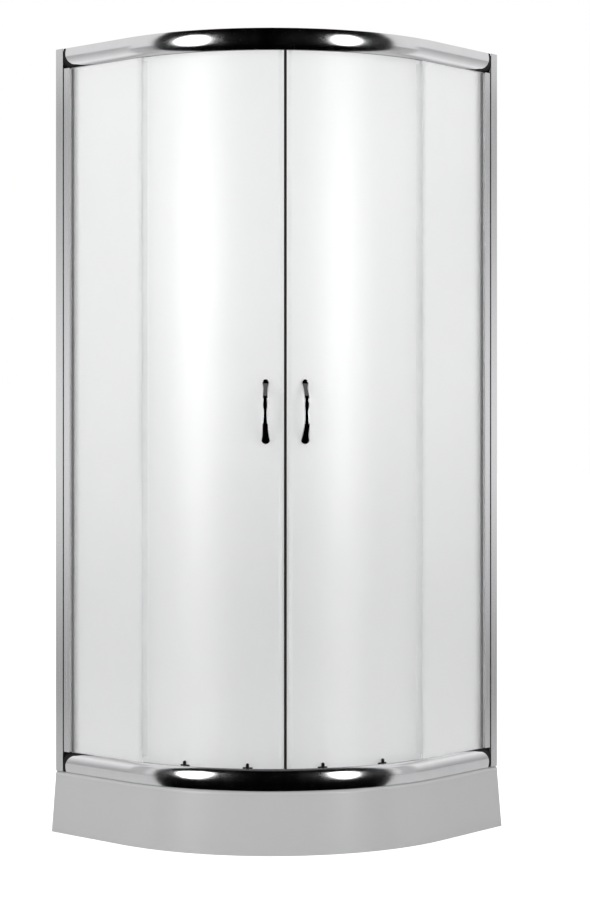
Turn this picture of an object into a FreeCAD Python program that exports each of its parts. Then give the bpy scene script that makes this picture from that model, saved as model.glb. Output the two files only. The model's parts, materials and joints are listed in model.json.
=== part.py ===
import FreeCAD, Part
import os
import re

import Sketcher

# Quadrant shower enclosure: a low acrylic tray in the corner of a room, two wall profiles,
# a curved rail at the top and one at the bottom, two fixed panes and two curved sliding doors
# that meet in the middle of the round front.
#
# The model is in millimetres, +Z up. The origin is on the floor, in the middle of the tray's
# square. The room corner is at -X +Y, and the round front faces +X -Y. Whatever belongs to the
# cabin is drawn about the centre of the round front, the "hub", and the left half is the mirror
# image of the right half about the diagonal through the room corner.

SIZES = {
    # tray
    "tray_size": 800,
    "tray_radius": 550,
    "tray_height": 150,
    "skirt_flare": 13,
    "tray_wall": 5,
    "wall_side_lip": 45,
    "rim_width": 62,
    "rim_bevel": 3,
    "rim_wall_width": 45,
    "basin_depth": 50,
    "basin_draft": 10,
    "basin_corner": 55,
    "basin_rounding": 14,
    "floor_fall": 6,
    "fall_radius": 170,
    # waste
    "drain_inset": 215,
    "drain_radius": 45,
    "drain_seat_radius": 58,
    "drain_seat_depth": 2.5,
    "flange_thickness": 2.3,
    "spigot_wall": 3,
    "spigot_depth": 22,
    "trap_wall": 3,
    "gasket_thickness": 3,
    "cup_wall": 2,
    "cup_gap": 7,
    "outlet_radius": 25,
    "outlet_length": 105,
    "outlet_grip": 14,
    "outlet_neck": 24,
    "outlet_drop": 8,
    "cover_radius": 55,
    "cover_thickness": 2.5,
    "cover_rise": 5,
    "cover_gap": 4,
    "cover_leg_width": 3,
    "cover_crown_share": 0.45,
    "cover_shoulder_share": 0.75,
    "cover_shoulder_drop": 0.25,
    "cover_leg_share": 0.8,
    # board, frame and feet under the tray
    "board_thickness": 10,
    "board_margin": 22,
    "channel_width": 30,
    "channel_height": 20,
    "channel_sheet": 2,
    "back_bar_inset": 90,
    "front_bar_inset": 450,
    "cross_bar_inset": 380,
    "bar_end_inset": 60,
    "foot_radius": 22,
    "foot_height": 12,
    "stud_radius": 5,
    "nut_flats": 17,
    "nut_height": 8,
    # frame
    "frame_setback": 1.5,
    "frame_height": 1800,
    "wall_profile_reach": 25,
    "wall_profile_depth": 32,
    "wall_profile_sheet": 1.6,
    "wall_hole_radius": 2.75,
    "wall_hole_pitch": 750,
    "post_reach": 48,
    "post_tail": 13,
    "post_wall": 1.8,
    "post_screw_pitch": 650,
    "screw_radius": 1.9,
    "screw_head_radius": 3.6,
    "screw_head_height": 2,
    "screw_length": 9,
    "rail_height": 50,
    "belly_height": 38,
    "belly_bulge": 6,
    "lip_setback": 10.1,
    "rail_wall": 1.8,
    "web_reach": 28,
    "track_reach": 25.1,
    "track_thickness": 1.6,
    "track_level": 46,
    "track_lip": 5,
    "end_strip_width": 6,
    "end_corner_length": 43,
    "end_corner_start": 25,
    "end_corner_level": 44,
    "end_tail_length": 90,
    # panes
    "glass": 5,
    "pane_setback": 11.5,
    "pane_grip": 12,
    "groove_play": 0.6,
    "groove_floor_play": 2,
    "pane_side_grip": 10,
    "pane_edge_angle": 40.5,
    "door_setback": 32,
    "door_rear_angle": 43,
    "door_front_gap": 8,
    "door_foot_gap": 8,
    "door_head_gap": 8,
    # seals
    "seal_wall": 1,
    "seal_grip": 8,
    "magnet_thickness": 1.6,
    "magnet_width": 6,
    "magnet_pocket": 9,
    "seal_front": 16,
    "gasket_bead": 4.5,
    "gasket_proud": 3,
    "drip_gap": 0.7,
    "drip_reach": 2,
    "drip_front_angle": 2.2,
    "drip_rear_angle": 41.6,
    # rollers
    "wheel_radius": 11.5,
    "wheel_groove": 2,
    "wheel_width": 7,
    "wheel_flange": 1.3,
    "wheel_setback": 19.8,
    "axle_radius": 3,
    "axle_head_radius": 5.2,
    "axle_head": 1,
    "running_gap": 0.05,
    "roller_front_angle": 10.2,
    "roller_rear_angle": 28,
    "glass_hole_radius": 6.5,
    "clamp_radius": 9,
    "cap_radius": 11,
    "cap_height": 7,
    "cap_taper": 0.75,
    "clamp_taper": 0.7,
    "carrier_width": 24,
    "carrier_bottom": 18,
    "carrier_top": 51.5,
    "carrier_bevel": 2,
    "plunger_thickness": 2.8,
    "plunger_width": 12,
    "plunger_shoulder": 46,
    "plunger_slope": 3,
    "button_width": 7.5,
    "button_top": 61,
    "button_gap": 2,
    "door_travel": 22,
    "stop_length": 10,
    "stop_gap": 1,
    "stop_height": 20,
    # handles
    "handle_angle": 5.3,
    "handle_level": 895,
    "handle_length": 154,
    "handle_standoff": 37,
    "handle_thickness": 9,
    "handle_waist": 8.6,
    "handle_low_width": 21,
    "handle_high_width": 16,
    "handle_knee": 28,
    "handle_arm_bulge": 6,
    "handle_dip": 2.5,
    "handle_foot": 15,
    "handle_foot_thickness": 8,
    "handle_end_share": 0.8,
    "handle_bend_step": 3,
    "handle_screw_inset": 8.5,
    "handle_screw_play": 2,
    "handle_cap_radius": 9,
    "handle_cap_height": 4,
    # clearances
    "gap": 0.3,
    "snug": 0.2,
    "overcut": 1,
}

# Lengths that follow from the sizes above, as expressions. Radii are measured from the hub.
WORKED_OUT = {
    "side": "tray_size - tray_radius",
    "hub": "tray_radius - tray_size / 2",
    "rim_radius": "tray_radius - skirt_flare",
    "rail_radius": "rim_radius - frame_setback",
    "frame_top": "tray_height + frame_height",
    "basin_floor": "tray_height - basin_depth",
    "drain_level": "basin_floor - floor_fall",
    "tray_under": "drain_level - tray_wall",
    "board_under": "tray_under - board_thickness",
    "channel_under": "board_under - channel_height",
    "drain_x": "drain_inset - side",
    "trap_radius": "drain_radius + trap_wall",
    "seat_level": "drain_level - drain_seat_depth",
    "flange_top": "seat_level + flange_thickness",
    "spigot_radius": "drain_radius - trap_wall / 2",
    "spigot_bore": "spigot_radius - spigot_wall",
    "spigot_foot": "flange_top - spigot_depth",
    "trap_top": "tray_under - gasket_thickness",
    "outlet_height": "board_under - outlet_drop - outlet_radius",
    "trap_base": "outlet_height - outlet_radius - trap_wall",
    "cup_base": "trap_base + trap_wall + cup_gap",
    "cup_rim": "spigot_foot + cup_wall",
    "branch_end": "trap_radius + outlet_radius",
    "lock_nut_level": "board_under - channel_sheet - 2 * nut_height - gap",
    "pane_outer": "rail_radius - pane_setback",
    "pane_inner": "pane_outer - glass",
    "door_outer": "rail_radius - door_setback",
    "door_inner": "door_outer - glass",
    "channel_outer": "pane_outer + groove_play",
    "channel_inner": "pane_inner - groove_play",
    "groove_floor": "rail_height - pane_grip - groove_floor_play",
    "track_wall": "channel_inner - rail_wall",
    "track_outer": "rail_radius - track_reach + track_thickness",
    "track_inner": "rail_radius - track_reach",
    "lip_end": "track_level - track_thickness - track_lip",
    "wheel_level": "lip_end - wheel_radius + wheel_groove - gap",
    "wheel_outer": "rail_radius - wheel_setback",
    "profile_mouth": "side - wall_profile_reach",
    "rail_end": "profile_mouth - end_strip_width",
    "corner_run": "end_corner_length - end_strip_width",
    "corner_rise": "end_corner_level - end_corner_start",
    "post_front": "side - post_reach",
    "post_outer": "rail_radius - wall_profile_sheet - gap",
    "post_inner": "rail_radius - wall_profile_depth + wall_profile_sheet + gap",
    "door_foot": "tray_height + door_foot_gap",
    "door_head": "frame_top - door_head_gap",
    "seal_drop": "door_inner - sqrt(door_inner ^ 2 - seal_front ^ 2)",
    "handle_middle": "tray_height + handle_level",
    "handle_screw": "handle_length / 2 - handle_screw_inset",
    "handle_hole": "screw_head_radius + 4 * snug",
}

# The screws of an upright, counted from its middle one.
STEPS = (-1, 0, 1)
# Two heights or places count as the same within this length.
CLOSE = 0.001

FEET = ("back_left", "back_right", "front_left", "front_right", "nose")

doc = FreeCAD.newDocument("QuadrantShowerEnclosure")
sheet = doc.addObject("Spreadsheet::Sheet", "Sizes")
for row, (alias, value) in enumerate(SIZES.items(), start=1):
    sheet.set(f"A{row}", alias)
    sheet.set(f"B{row}", str(value))
    sheet.setAlias(f"B{row}", alias)
doc.recompute()

WORD = re.compile(r"[a-z][a-z_]*")


def bound(expression):
    """The expression with every named length spelled out in cells of the sheet."""
    def spell(match):
        word = match.group(0)
        if word in WORKED_OUT:
            return f"({bound(WORKED_OUT[word])})"
        return f"Sizes.{word}" if word in SIZES else word
    return WORD.sub(spell, str(expression))


def measure(expression):
    """The value of an expression with the sizes as they are now."""
    return float(sheet.evalExpression(bound(expression)))


def bind(thing, prop, expression):
    """Ties one property of an object to the sheet."""
    thing.setExpression(prop, bound(expression))


def polar(radius, angle):
    """A point at a radius and an angle in degrees about the hub."""
    return (f"({radius}) * cos(({angle}) * 1 deg)", f"({radius}) * sin(({angle}) * 1 deg)")


def front(angle):
    """An angle counted from the middle of the round front, as an angle from +X."""
    return f"({angle}) - 45"


# ---------------------------------------------------------------- sketches and features

def origin_plane(body, role):
    return next(item for item in body.Origin.OriginFeatures if item.Role == role)


def new_body(label, level="0", at_hub=True):
    """A body whose own origin is the hub at a height, or the middle of the tray's square."""
    body = doc.addObject("PartDesign::Body", "Body_" + label)
    body.Label = label
    if at_hub:
        bind(body, "Placement.Base.x", "-hub")
        bind(body, "Placement.Base.y", "hub")
    bind(body, "Placement.Base.z", level)
    return body


def turned_body(label, angle, level="0", radius="0"):
    """A body at the hub whose own X axis points outwards at an angle, started at a radius."""
    body = new_body(label, level, at_hub=False)
    body.Placement = FreeCAD.Placement(FreeCAD.Vector(), FreeCAD.Rotation(FreeCAD.Vector(0, 0, 1), 1))
    out_x, out_y = polar(radius, angle)
    bind(body, "Placement.Base.x", f"-hub + {out_x}")
    bind(body, "Placement.Base.y", f"hub + {out_y}")
    bind(body, "Placement.Base.z", level)
    bind(body, "Placement.Rotation.Angle", angle)
    return body


def new_sketch(body, plane, offset="0"):
    sketch = body.newObject("Sketcher::SketchObject", "Sketch")
    sketch.AttachmentSupport = [(origin_plane(body, plane), "")]
    sketch.MapMode = "FlatFace"
    bind(sketch, "AttachmentOffset.Base.z", offset)
    return sketch


def pin_down(sketch, geometry, point, x, y):
    """Holds one point of a sketch at two expressions."""
    for kind, value in (("DistanceX", x), ("DistanceY", y)):
        index = sketch.addConstraint(Sketcher.Constraint(kind, -1, 1, geometry, point, measure(value)))
        sketch.setExpression(f"Constraints[{index}]", bound(value))


def draw_loop(sketch, corners):
    """A closed outline. A corner is (x, y); with a third entry (x, y) its side is an arc through it."""
    flat = [FreeCAD.Vector(measure(corner[0]), measure(corner[1]), 0) for corner in corners]
    ends = []
    for index, corner in enumerate(corners):
        here, there = flat[index], flat[(index + 1) % len(flat)]
        if len(corner) == 3:
            middle = FreeCAD.Vector(measure(corner[2][0]), measure(corner[2][1]), 0)
            side = sketch.addGeometry(Part.Arc(here, middle, there), False)
            via = sketch.addGeometry(Part.Point(middle), True)
            sketch.addConstraint(Sketcher.Constraint("PointOnObject", via, 1, side))
            pin_down(sketch, via, 1, *corner[2])
            first, last = (sketch.getPoint(side, end).distanceToPoint(here) for end in (1, 2))
            ends.append((side, 2, 1) if first > last else (side, 1, 2))
        else:
            side = sketch.addGeometry(Part.LineSegment(here, there), False)
            ends.append((side, 1, 2))
    for index, (side, start, _) in enumerate(ends):
        before, _, finish = ends[index - 1]
        sketch.addConstraint(Sketcher.Constraint("Coincident", before, finish, side, start))
        pin_down(sketch, side, start, *corners[index][:2])


def draw_circle(sketch, x, y, radius):
    centre = FreeCAD.Vector(measure(x), measure(y), 0)
    ring = sketch.addGeometry(Part.Circle(centre, FreeCAD.Vector(0, 0, 1), measure(radius)), False)
    pin_down(sketch, ring, 3, x, y)
    index = sketch.addConstraint(Sketcher.Constraint("Radius", ring, measure(radius)))
    sketch.setExpression(f"Constraints[{index}]", bound(radius))


def outline(body, plane, *loops, offset="0"):
    """A sketch of one or more closed loops; a loop of three expressions in a row is a circle."""
    sketch = new_sketch(body, plane, offset)
    for loop in loops:
        if isinstance(loop[0], str):
            draw_circle(sketch, *loop)
        else:
            draw_loop(sketch, loop)
    return sketch


def pad(body, sketch, length, reverse=False):
    feature = body.newObject("PartDesign::Pad", "Pad")
    feature.Profile = sketch
    bind(feature, "Length", length)
    feature.Reversed = reverse
    return feature


def pocket(body, sketch, length=None, reverse=False):
    """Cuts a sketch to a depth, or with no depth right through on both sides."""
    feature = body.newObject("PartDesign::Pocket", "Pocket")
    feature.Profile = sketch
    if length is None:
        feature.Type = "ThroughAll"
        feature.Midplane = True
    else:
        bind(feature, "Length", length)
        feature.Reversed = reverse
    return feature


def revolve(body, sketch, axis="Z_Axis", angle="360", reverse=False):
    feature = body.newObject("PartDesign::Revolution", "Revolution")
    feature.Profile = sketch
    feature.ReferenceAxis = (origin_plane(body, axis), [""])
    bind(feature, "Angle", angle)
    feature.Reversed = reverse
    return feature


def loft(body, low, high, cut=False):
    feature = body.newObject("PartDesign::SubtractiveLoft" if cut else "PartDesign::AdditiveLoft", "Loft")
    feature.Profile = low
    feature.Sections = [high]
    feature.Ruled = True
    return feature


def round_edges(body, size, wanted, bevel=False):
    """Fillets or bevels the edges of the body's tip that the test picks."""
    doc.recompute()
    base = body.Tip
    names = [f"Edge{n}" for n, edge in enumerate(base.Shape.Edges, start=1) if wanted(edge)]
    kind, prop = ("Chamfer", "Size") if bevel else ("Fillet", "Radius")
    feature = body.newObject(f"PartDesign::{kind}", kind)
    feature.Base = (base, names)
    bind(feature, prop, size)
    return feature


def mirrored(label, source):
    """The left-hand twin of a right-hand piece, about the diagonal through the room corner."""
    twin = doc.addObject("Part::Mirroring", "Twin_" + label)
    twin.Label = label
    twin.Source = source
    bind(twin, "Base.x", "-hub")
    bind(twin, "Base.y", "hub")
    twin.Normal = FreeCAD.Vector(1, 1, 0)
    return twin


def flipped(label, source):
    """The same piece upside down, about the middle of the frame's height."""
    twin = doc.addObject("Part::Mirroring", "Twin_" + label)
    twin.Label = label
    twin.Source = source
    bind(twin, "Base.z", "tray_height + frame_height / 2")
    twin.Normal = FreeCAD.Vector(0, 0, 1)
    return twin


def group(label, members):
    """Like pieces that share one node, each still a solid of its own."""
    compound = doc.addObject("Part::Compound", "Group_" + label)
    compound.Label = label
    compound.Links = members
    return compound


PIECES = []


def keep(*pieces):
    PIECES.extend(pieces)


# ---------------------------------------------------------------- plan outlines about the hub

def quadrant(radius, wall):
    """The tray's plan: two straight fronts joined by the round front, and two wall sides."""
    return [(radius, "0"), (radius, wall), (f"-({wall})", wall), (f"-({wall})", f"-({radius})"),
            ("0", f"-({radius})", polar(radius, "-45"))]


def rounded_quadrant(radius, wall, corner):
    """The same plan with its three wall-side corners rounded."""
    inset = f"({corner}) * (1 - cos(45 * 1 deg))"
    return [
        (radius, "0"),
        (radius, f"{wall} - ({corner})", (f"{radius} - {inset}", f"{wall} - {inset}")),
        (f"{radius} - ({corner})", wall),
        (f"-({wall}) + {corner}", wall, (f"-({wall}) + {inset}", f"{wall} - {inset}")),
        (f"-({wall})", f"{wall} - ({corner})"),
        (f"-({wall})", f"-({radius}) + {corner}", (f"-({wall}) + {inset}", f"-({radius}) + {inset}")),
        (f"-({wall}) + {corner}", f"-({radius})"),
        ("0", f"-({radius})", polar(radius, "-45")),
    ]


def bulge(start, finish, height):
    """The middle of an arc between two points that stands off their chord, to its right."""
    run = f"hypot(({finish[0]}) - ({start[0]}); ({finish[1]}) - ({start[1]}))"
    return (f"(({start[0]}) + ({finish[0]})) / 2 + ({height}) * (({finish[1]}) - ({start[1]})) / {run}",
            f"(({start[1]}) + ({finish[1]})) / 2 - ({height}) * (({finish[0]}) - ({start[0]})) / {run}")


def arc_band(inner, outer, start, finish):
    """A curved strip between two radii and two angles."""
    middle = f"(({start}) + ({finish})) / 2"
    return [polar(outer, start) + (polar(outer, middle),), polar(outer, finish),
            polar(inner, finish) + (polar(inner, middle),), polar(inner, start)]


def hooked_band(inner, outer, end, angle):
    """A strip that runs straight from the wall side and then round the hub to an angle."""
    return [(outer, end), (outer, "0", polar(outer, f"({angle}) / 2")), polar(outer, angle),
            polar(inner, angle) + (polar(inner, f"({angle}) / 2"),), (inner, "0"), (inner, end)]


def box_loop(x_low, x_high, y_low, y_high):
    return [(x_low, y_low), (x_high, y_low), (x_high, y_high), (x_low, y_high)]


# ---------------------------------------------------------------- tray and what is under it

def tray_shell():
    """Acrylic tray: flared skirt, flat rim, drafted basin and a floor that falls to the waste."""
    body = new_body("tray_shell")
    loft(body, outline(body, "XY_Plane", quadrant("tray_radius", "side + overcut")),
         outline(body, "XY_Plane", quadrant("rim_radius", "side + overcut"), offset="tray_height"))
    inside = "tray_height - tray_wall"
    loft(body, outline(body, "XY_Plane", quadrant("tray_radius - tray_wall", "side - tray_wall")),
         outline(body, "XY_Plane", quadrant("rim_radius - tray_wall", "side - tray_wall"), offset=inside),
         cut=True)
    basin = "rim_radius - rim_width"
    wall = "side - rim_wall_width"
    corner = "basin_corner - basin_draft"
    tub = rounded_quadrant(f"{basin} + tray_wall", f"{wall} + tray_wall", "basin_corner + tray_wall")
    tub_foot = rounded_quadrant(f"{basin} + tray_wall - basin_draft", f"{wall} + tray_wall - basin_draft",
                                f"{corner} + tray_wall")
    loft(body, outline(body, "XY_Plane", tub_foot, offset="tray_under"),
         outline(body, "XY_Plane", tub, offset=inside))
    hollow = rounded_quadrant(basin, wall, "basin_corner")
    hollow_foot = rounded_quadrant(f"{basin} - basin_draft", f"{wall} - basin_draft", corner)
    loft(body, outline(body, "XY_Plane", hollow_foot, offset="basin_floor"),
         outline(body, "XY_Plane", hollow, offset="tray_height"), cut=True)
    round_edges(body, "basin_rounding", lambda edge: on_level(edge, "basin_floor"))
    # The sides that stand against the walls are trimmed flat.
    pocket(body, outline(body, "XY_Plane", wall_strip("0", "tray_wall")))
    round_edges(body, "rim_bevel", on_rim, bevel=True)
    fall = body.newObject("PartDesign::SubtractiveCone", "FloorFall")
    fall.AttachmentSupport = [(origin_plane(body, "XY_Plane"), "")]
    fall.MapMode = "FlatFace"
    bind(fall, "AttachmentOffset.Base.x", "drain_x")
    bind(fall, "AttachmentOffset.Base.y", "-drain_x")
    bind(fall, "AttachmentOffset.Base.z", "drain_level")
    bind(fall, "Radius1", "drain_seat_radius + gap")
    bind(fall, "Radius2", "fall_radius")
    bind(fall, "Height", "floor_fall")
    pocket(body, outline(body, "XY_Plane", ("drain_x", "-drain_x", "drain_seat_radius + gap"),
                         offset="basin_floor"), "floor_fall + drain_seat_depth")
    pocket(body, outline(body, "XY_Plane", ("drain_x", "-drain_x", "drain_radius")))
    # They are open below their lip, where the outlet pipe leaves.
    under = "tray_height - wall_side_lip"
    pocket(body, outline(body, "XY_Plane", wall_strip("2 * tray_wall", "-tray_wall")), under, reverse=True)
    return body


def wall_strip(inset, past):
    """A strip along both wall sides: from outside them to a distance inside, and past the front's ends."""
    near, far, end = f"side - {inset}", "side + tray_wall", f"tray_radius + {past}"
    return [(f"-({far})", f"-({end})"), (f"-({near})", f"-({end})"), (f"-({near})", near),
            (end, near), (end, far), (f"-({far})", far)]


def on_level(edge, level):
    box = edge.BoundBox
    return abs(box.ZMin - measure(level)) < CLOSE and abs(box.ZMax - measure(level)) < CLOSE


def on_rim(edge):
    """Whether an edge lies on the rim and not against a wall."""
    box, side = edge.BoundBox, measure("side")
    against_wall = abs(box.XMax + side) < CLOSE or abs(box.YMin - side) < CLOSE
    return on_level(edge, "tray_height") and not against_wall


def support_board():
    """Board bonded under the tray's floor, which spreads the load onto the frame."""
    body = new_body("tray_support_board", "board_under")
    basin = "rim_radius - rim_width - basin_draft - board_margin"
    wall = "side - rim_wall_width - basin_draft - board_margin"
    plan = rounded_quadrant(basin, wall, "basin_corner")
    pad(body, outline(body, "XY_Plane", plan, ("drain_x", "-drain_x", "drain_seat_radius + 4 * gap")),
        "board_thickness")
    return body


# Middle lines of the frame's three bars and their end points, about the hub.
BARS = {
    "back": "side - back_bar_inset",
    "front": "side - front_bar_inset",
    "cross": "-side + cross_bar_inset",
    "left_end": "-side + bar_end_inset",
    "right_end": "rim_radius - bar_end_inset",
    "nose_end": "-rim_radius + bar_end_inset",
}
FOOT_PLACES = {
    "back_left": (BARS["left_end"], BARS["back"]),
    "back_right": (BARS["right_end"], BARS["back"]),
    "front_left": (BARS["left_end"], BARS["front"]),
    "front_right": (BARS["right_end"] + " - bar_end_inset", BARS["front"]),
    "nose": (BARS["cross"], BARS["nose_end"]),
}


def tray_frame():
    """Three folded steel channels, open downwards, welded into one frame with a nut at each foot."""
    body = new_body("tray_frame", "channel_under")
    half = "channel_width / 2"
    bars = (
        (BARS["left_end"], BARS["right_end"], BARS["back"], True),
        (BARS["left_end"], BARS["right_end"] + " - bar_end_inset", BARS["front"], True),
        (BARS["nose_end"], BARS["back"], BARS["cross"], False),
    )
    for cut in (False, True):
        thin = "channel_sheet" if cut else "0"
        for low, high, middle, along_x in bars:
            ends = (f"{low} - {half} + {thin}", f"{high} + {half} - {thin}")
            sides = (f"{middle} - {half} + {thin}", f"{middle} + {half} - {thin}")
            plan = box_loop(*ends, *sides) if along_x else box_loop(*sides, *ends)
            sketch = outline(body, "XY_Plane", plan)
            if cut:
                pocket(body, sketch, "channel_height - channel_sheet", reverse=True)
            else:
                pad(body, sketch, "channel_height")
    nuts = [(x, y, "nut_flats / 2") for x, y in FOOT_PLACES.values()]
    under_web = "channel_height - channel_sheet"
    pad(body, outline(body, "XY_Plane", *nuts, offset=under_web), "nut_height", reverse=True)
    holes = [(x, y, "stud_radius + snug") for x, y in FOOT_PLACES.values()]
    pocket(body, outline(body, "XY_Plane", *holes))
    return body


def foot_part(name, place, make):
    """One of the foot's pieces at one place under the frame."""
    body = new_body(f"{name}_{place}", "0", at_hub=False)
    x, y = FOOT_PLACES[place]
    bind(body, "Placement.Base.x", f"-hub + {x}")
    bind(body, "Placement.Base.y", f"hub + {y}")
    make(body)
    return body


def foot_pad(body):
    """Moulded pad with a socket for the stud."""
    revolve(body, outline(body, "XZ_Plane", [
        ("0", "0"), ("foot_radius", "0"), ("foot_radius", "foot_height / 4"),
        ("foot_radius / 2", "foot_height"), ("stud_radius + snug", "foot_height"),
        ("stud_radius + snug", "foot_height / 3"), ("0", "foot_height / 3")]))


def foot_stud(body):
    """Threaded stud, shown as its plain outer cylinder."""
    sketch = outline(body, "XY_Plane", ("0", "0", "stud_radius"), offset="foot_height / 3")
    pad(body, sketch, "board_under - foot_height / 3 - gap")


def foot_nut(body):
    """Lock nut under the channel."""
    corner = "nut_flats / 2 / cos(30 * 1 deg)"
    hexagon = [polar(corner, str(turn)) for turn in range(0, 360, 60)]
    pad(body, outline(body, "XY_Plane", hexagon, ("0", "0", "stud_radius + snug"), offset="lock_nut_level"),
        "nut_height")


def waste_part(label, loop):
    """A round piece of the waste, turned about the drain's axis; the loop is (radius, height)."""
    body = new_body(label, "0", at_hub=False)
    bind(body, "Placement.Base.x", "-hub + drain_x")
    bind(body, "Placement.Base.y", "hub - drain_x")
    revolve(body, outline(body, "XZ_Plane", loop))
    return body


def waste_pieces():
    """The waste: flange over the tray's hole, gasket and trap below it, water cup and cover."""
    flange = waste_part("waste_flange", [
        ("spigot_bore", "flange_top"), ("drain_seat_radius", "flange_top"),
        ("drain_seat_radius", "seat_level"), ("spigot_radius", "seat_level"),
        ("spigot_radius", "spigot_foot"), ("spigot_bore - spigot_wall", "spigot_foot"),
        ("spigot_bore - spigot_wall", "cup_rim"), ("spigot_bore", "cup_rim")])
    gasket = waste_part("waste_gasket", [
        ("trap_radius", "trap_top"), ("drain_seat_radius", "trap_top"),
        ("drain_seat_radius", "tray_under"), ("trap_radius", "tray_under")])
    trap = waste_part("waste_trap", [
        ("0", "trap_base"), ("trap_radius - trap_wall", "trap_base"),
        ("trap_radius", "trap_base + trap_wall"), ("trap_radius", "trap_top - trap_wall"),
        ("drain_seat_radius", "trap_top - trap_wall"), ("drain_seat_radius", "trap_top"),
        ("spigot_radius + snug", "trap_top"), ("spigot_radius + snug", "trap_base + trap_wall"),
        ("0", "trap_base + trap_wall")])
    add_branch(trap)
    cup = waste_part("water_cup", [
        ("0", "cup_base"),
        ("spigot_bore - spigot_wall - snug", "cup_base"),
        ("spigot_bore - spigot_wall - snug", "cup_rim"),
        ("spigot_bore - snug", "cup_rim"), ("spigot_bore - snug", "cup_rim + cup_wall"),
        ("spigot_bore - spigot_wall - snug - cup_wall", "cup_rim + cup_wall"),
        ("spigot_bore - spigot_wall - snug - cup_wall", "cup_base + cup_wall"),
        ("0", "cup_base + cup_wall")])
    return flange, gasket, trap, cup, drain_cover(), outlet_pipe()


def add_branch(trap):
    """The trap's side branch, a socket for the outlet pipe, pointing at the side wall."""
    sleeve = "outlet_radius + trap_wall / 2"
    pad(trap, outline(trap, "YZ_Plane", ("0", "outlet_height", sleeve)), "branch_end", reverse=True)
    pocket(trap, outline(trap, "YZ_Plane", ("0", "outlet_height", "outlet_neck + snug"),
                         offset="-branch_end"), "2 * outlet_radius", reverse=True)
    pocket(trap, outline(trap, "XY_Plane", ("0", "0", "spigot_radius + snug"),
                         offset="trap_base + trap_wall"), "trap_top", reverse=True)


def outlet_pipe():
    """Waste pipe from the trap's branch to the side wall, its near end turned down to fit the branch."""
    body = new_body("outlet_pipe", "outlet_height", at_hub=False)
    bind(body, "Placement.Base.x", "-hub + drain_x - branch_end")
    bind(body, "Placement.Base.y", "hub - drain_x")
    neck, bore = "outlet_neck", "outlet_radius - trap_wall"
    revolve(body, outline(body, "XZ_Plane", [
        ("outlet_grip", bore), ("outlet_grip", neck), ("0", neck), ("0", "outlet_radius"),
        ("-outlet_length", "outlet_radius"), ("-outlet_length", bore)]), axis="X_Axis")
    return body


def drain_cover():
    """Domed cover that lifts off, on three legs that stand on the water cup's rim."""
    level = "flange_top + cover_gap"
    inside = f"{level} + cover_rise"
    top = f"{inside} + cover_thickness"
    crown = "cover_radius * cover_crown_share"
    shoulder = ("cover_radius * cover_shoulder_share", f"{inside} + cover_thickness * cover_shoulder_drop")
    body = waste_part("drain_cover", [
        ("0", inside), ("0", top),
        (crown, top, shoulder),
        ("cover_radius", level), ("cover_radius - cover_thickness", level), (crown, inside)])
    foot = "cup_rim + cup_wall + gap"
    tall = f"{level} + cover_rise * cover_leg_share - ({foot})"
    for turn in ("0", "120", "240"):
        far = polar("spigot_bore - 2 * gap", turn)
        near = polar("spigot_bore - 3 * cover_leg_width", turn)
        aside = polar("cover_leg_width / 2", f"{turn} + 90")
        loop = [(f"{far[0]} + {aside[0]}", f"{far[1]} + {aside[1]}"),
                (f"{near[0]} + {aside[0]}", f"{near[1]} + {aside[1]}"),
                (f"{near[0]} - ({aside[0]})", f"{near[1]} - ({aside[1]})"),
                (f"{far[0]} - ({aside[0]})", f"{far[1]} - ({aside[1]})")]
        pad(body, outline(body, "XY_Plane", loop, offset=foot), tall)
    return body


# ---------------------------------------------------------------- frame

def wall_profile():
    """Channel screwed to the wall; the post slides in it to take up an uneven wall."""
    body = new_body("wall_profile_right", "tray_height")
    outer, inner = "rail_radius", "rail_radius - wall_profile_depth"
    thin = "wall_profile_sheet"
    mouth = "profile_mouth"
    pad(body, outline(body, "XY_Plane", [
        (outer, mouth), (outer, "side"), (inner, "side"), (inner, mouth), (f"{inner} + {thin}", mouth),
        (f"{inner} + {thin}", f"side - {thin}"), (f"{outer} - {thin}", f"side - {thin}"),
        (f"{outer} - {thin}", mouth)]), "frame_height")
    middle = f"{outer} - wall_profile_depth / 2"
    holes = [(middle, f"frame_height / 2 + {step} * wall_hole_pitch", "wall_hole_radius") for step in STEPS]
    pocket(body, outline(body, "XZ_Plane", *holes, offset="-side"), "4 * wall_profile_sheet", reverse=True)
    side_holes = [(f"{mouth} + 2 * screw_head_radius", f"frame_height / 2 + {step} * post_screw_pitch",
                   "screw_radius + snug") for step in STEPS]
    pocket(body, outline(body, "YZ_Plane", *side_holes, offset=f"{inner} + 2 * {thin}"), f"3 * {thin}")
    return body


def frame_post():
    """Upright between the two rails: hollow, with a groove for the fixed pane."""
    body = new_body("frame_post_right", "tray_height + rail_height")
    outer, inner, wall = "post_outer", "post_inner", "post_wall"
    groove = ("pane_outer + seal_wall + snug", "pane_inner - seal_wall - snug")
    tail = "profile_mouth + post_tail"
    bottom = "post_front + pane_side_grip + seal_wall + gap + snug"
    pad(body, outline(body, "XY_Plane", [
        (outer, "post_front"), (outer, tail), (inner, tail), (inner, "post_front"), (groove[1], "post_front"),
        (groove[1], bottom), (groove[0], bottom), (groove[0], "post_front")],
        box_loop(f"{inner} + {wall}", f"{outer} - {wall}", f"{bottom} + {wall}", f"{tail} - {wall}")),
        "frame_height - 2 * rail_height")
    aside = "profile_mouth + 2 * screw_head_radius"
    holes = [(aside, f"frame_height / 2 - rail_height + {step} * post_screw_pitch", "screw_radius")
             for step in STEPS]
    pocket(body, outline(body, "YZ_Plane", *holes, offset=f"{inner} + 2 * {wall}"), f"3 * {wall}")
    return body


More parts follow.
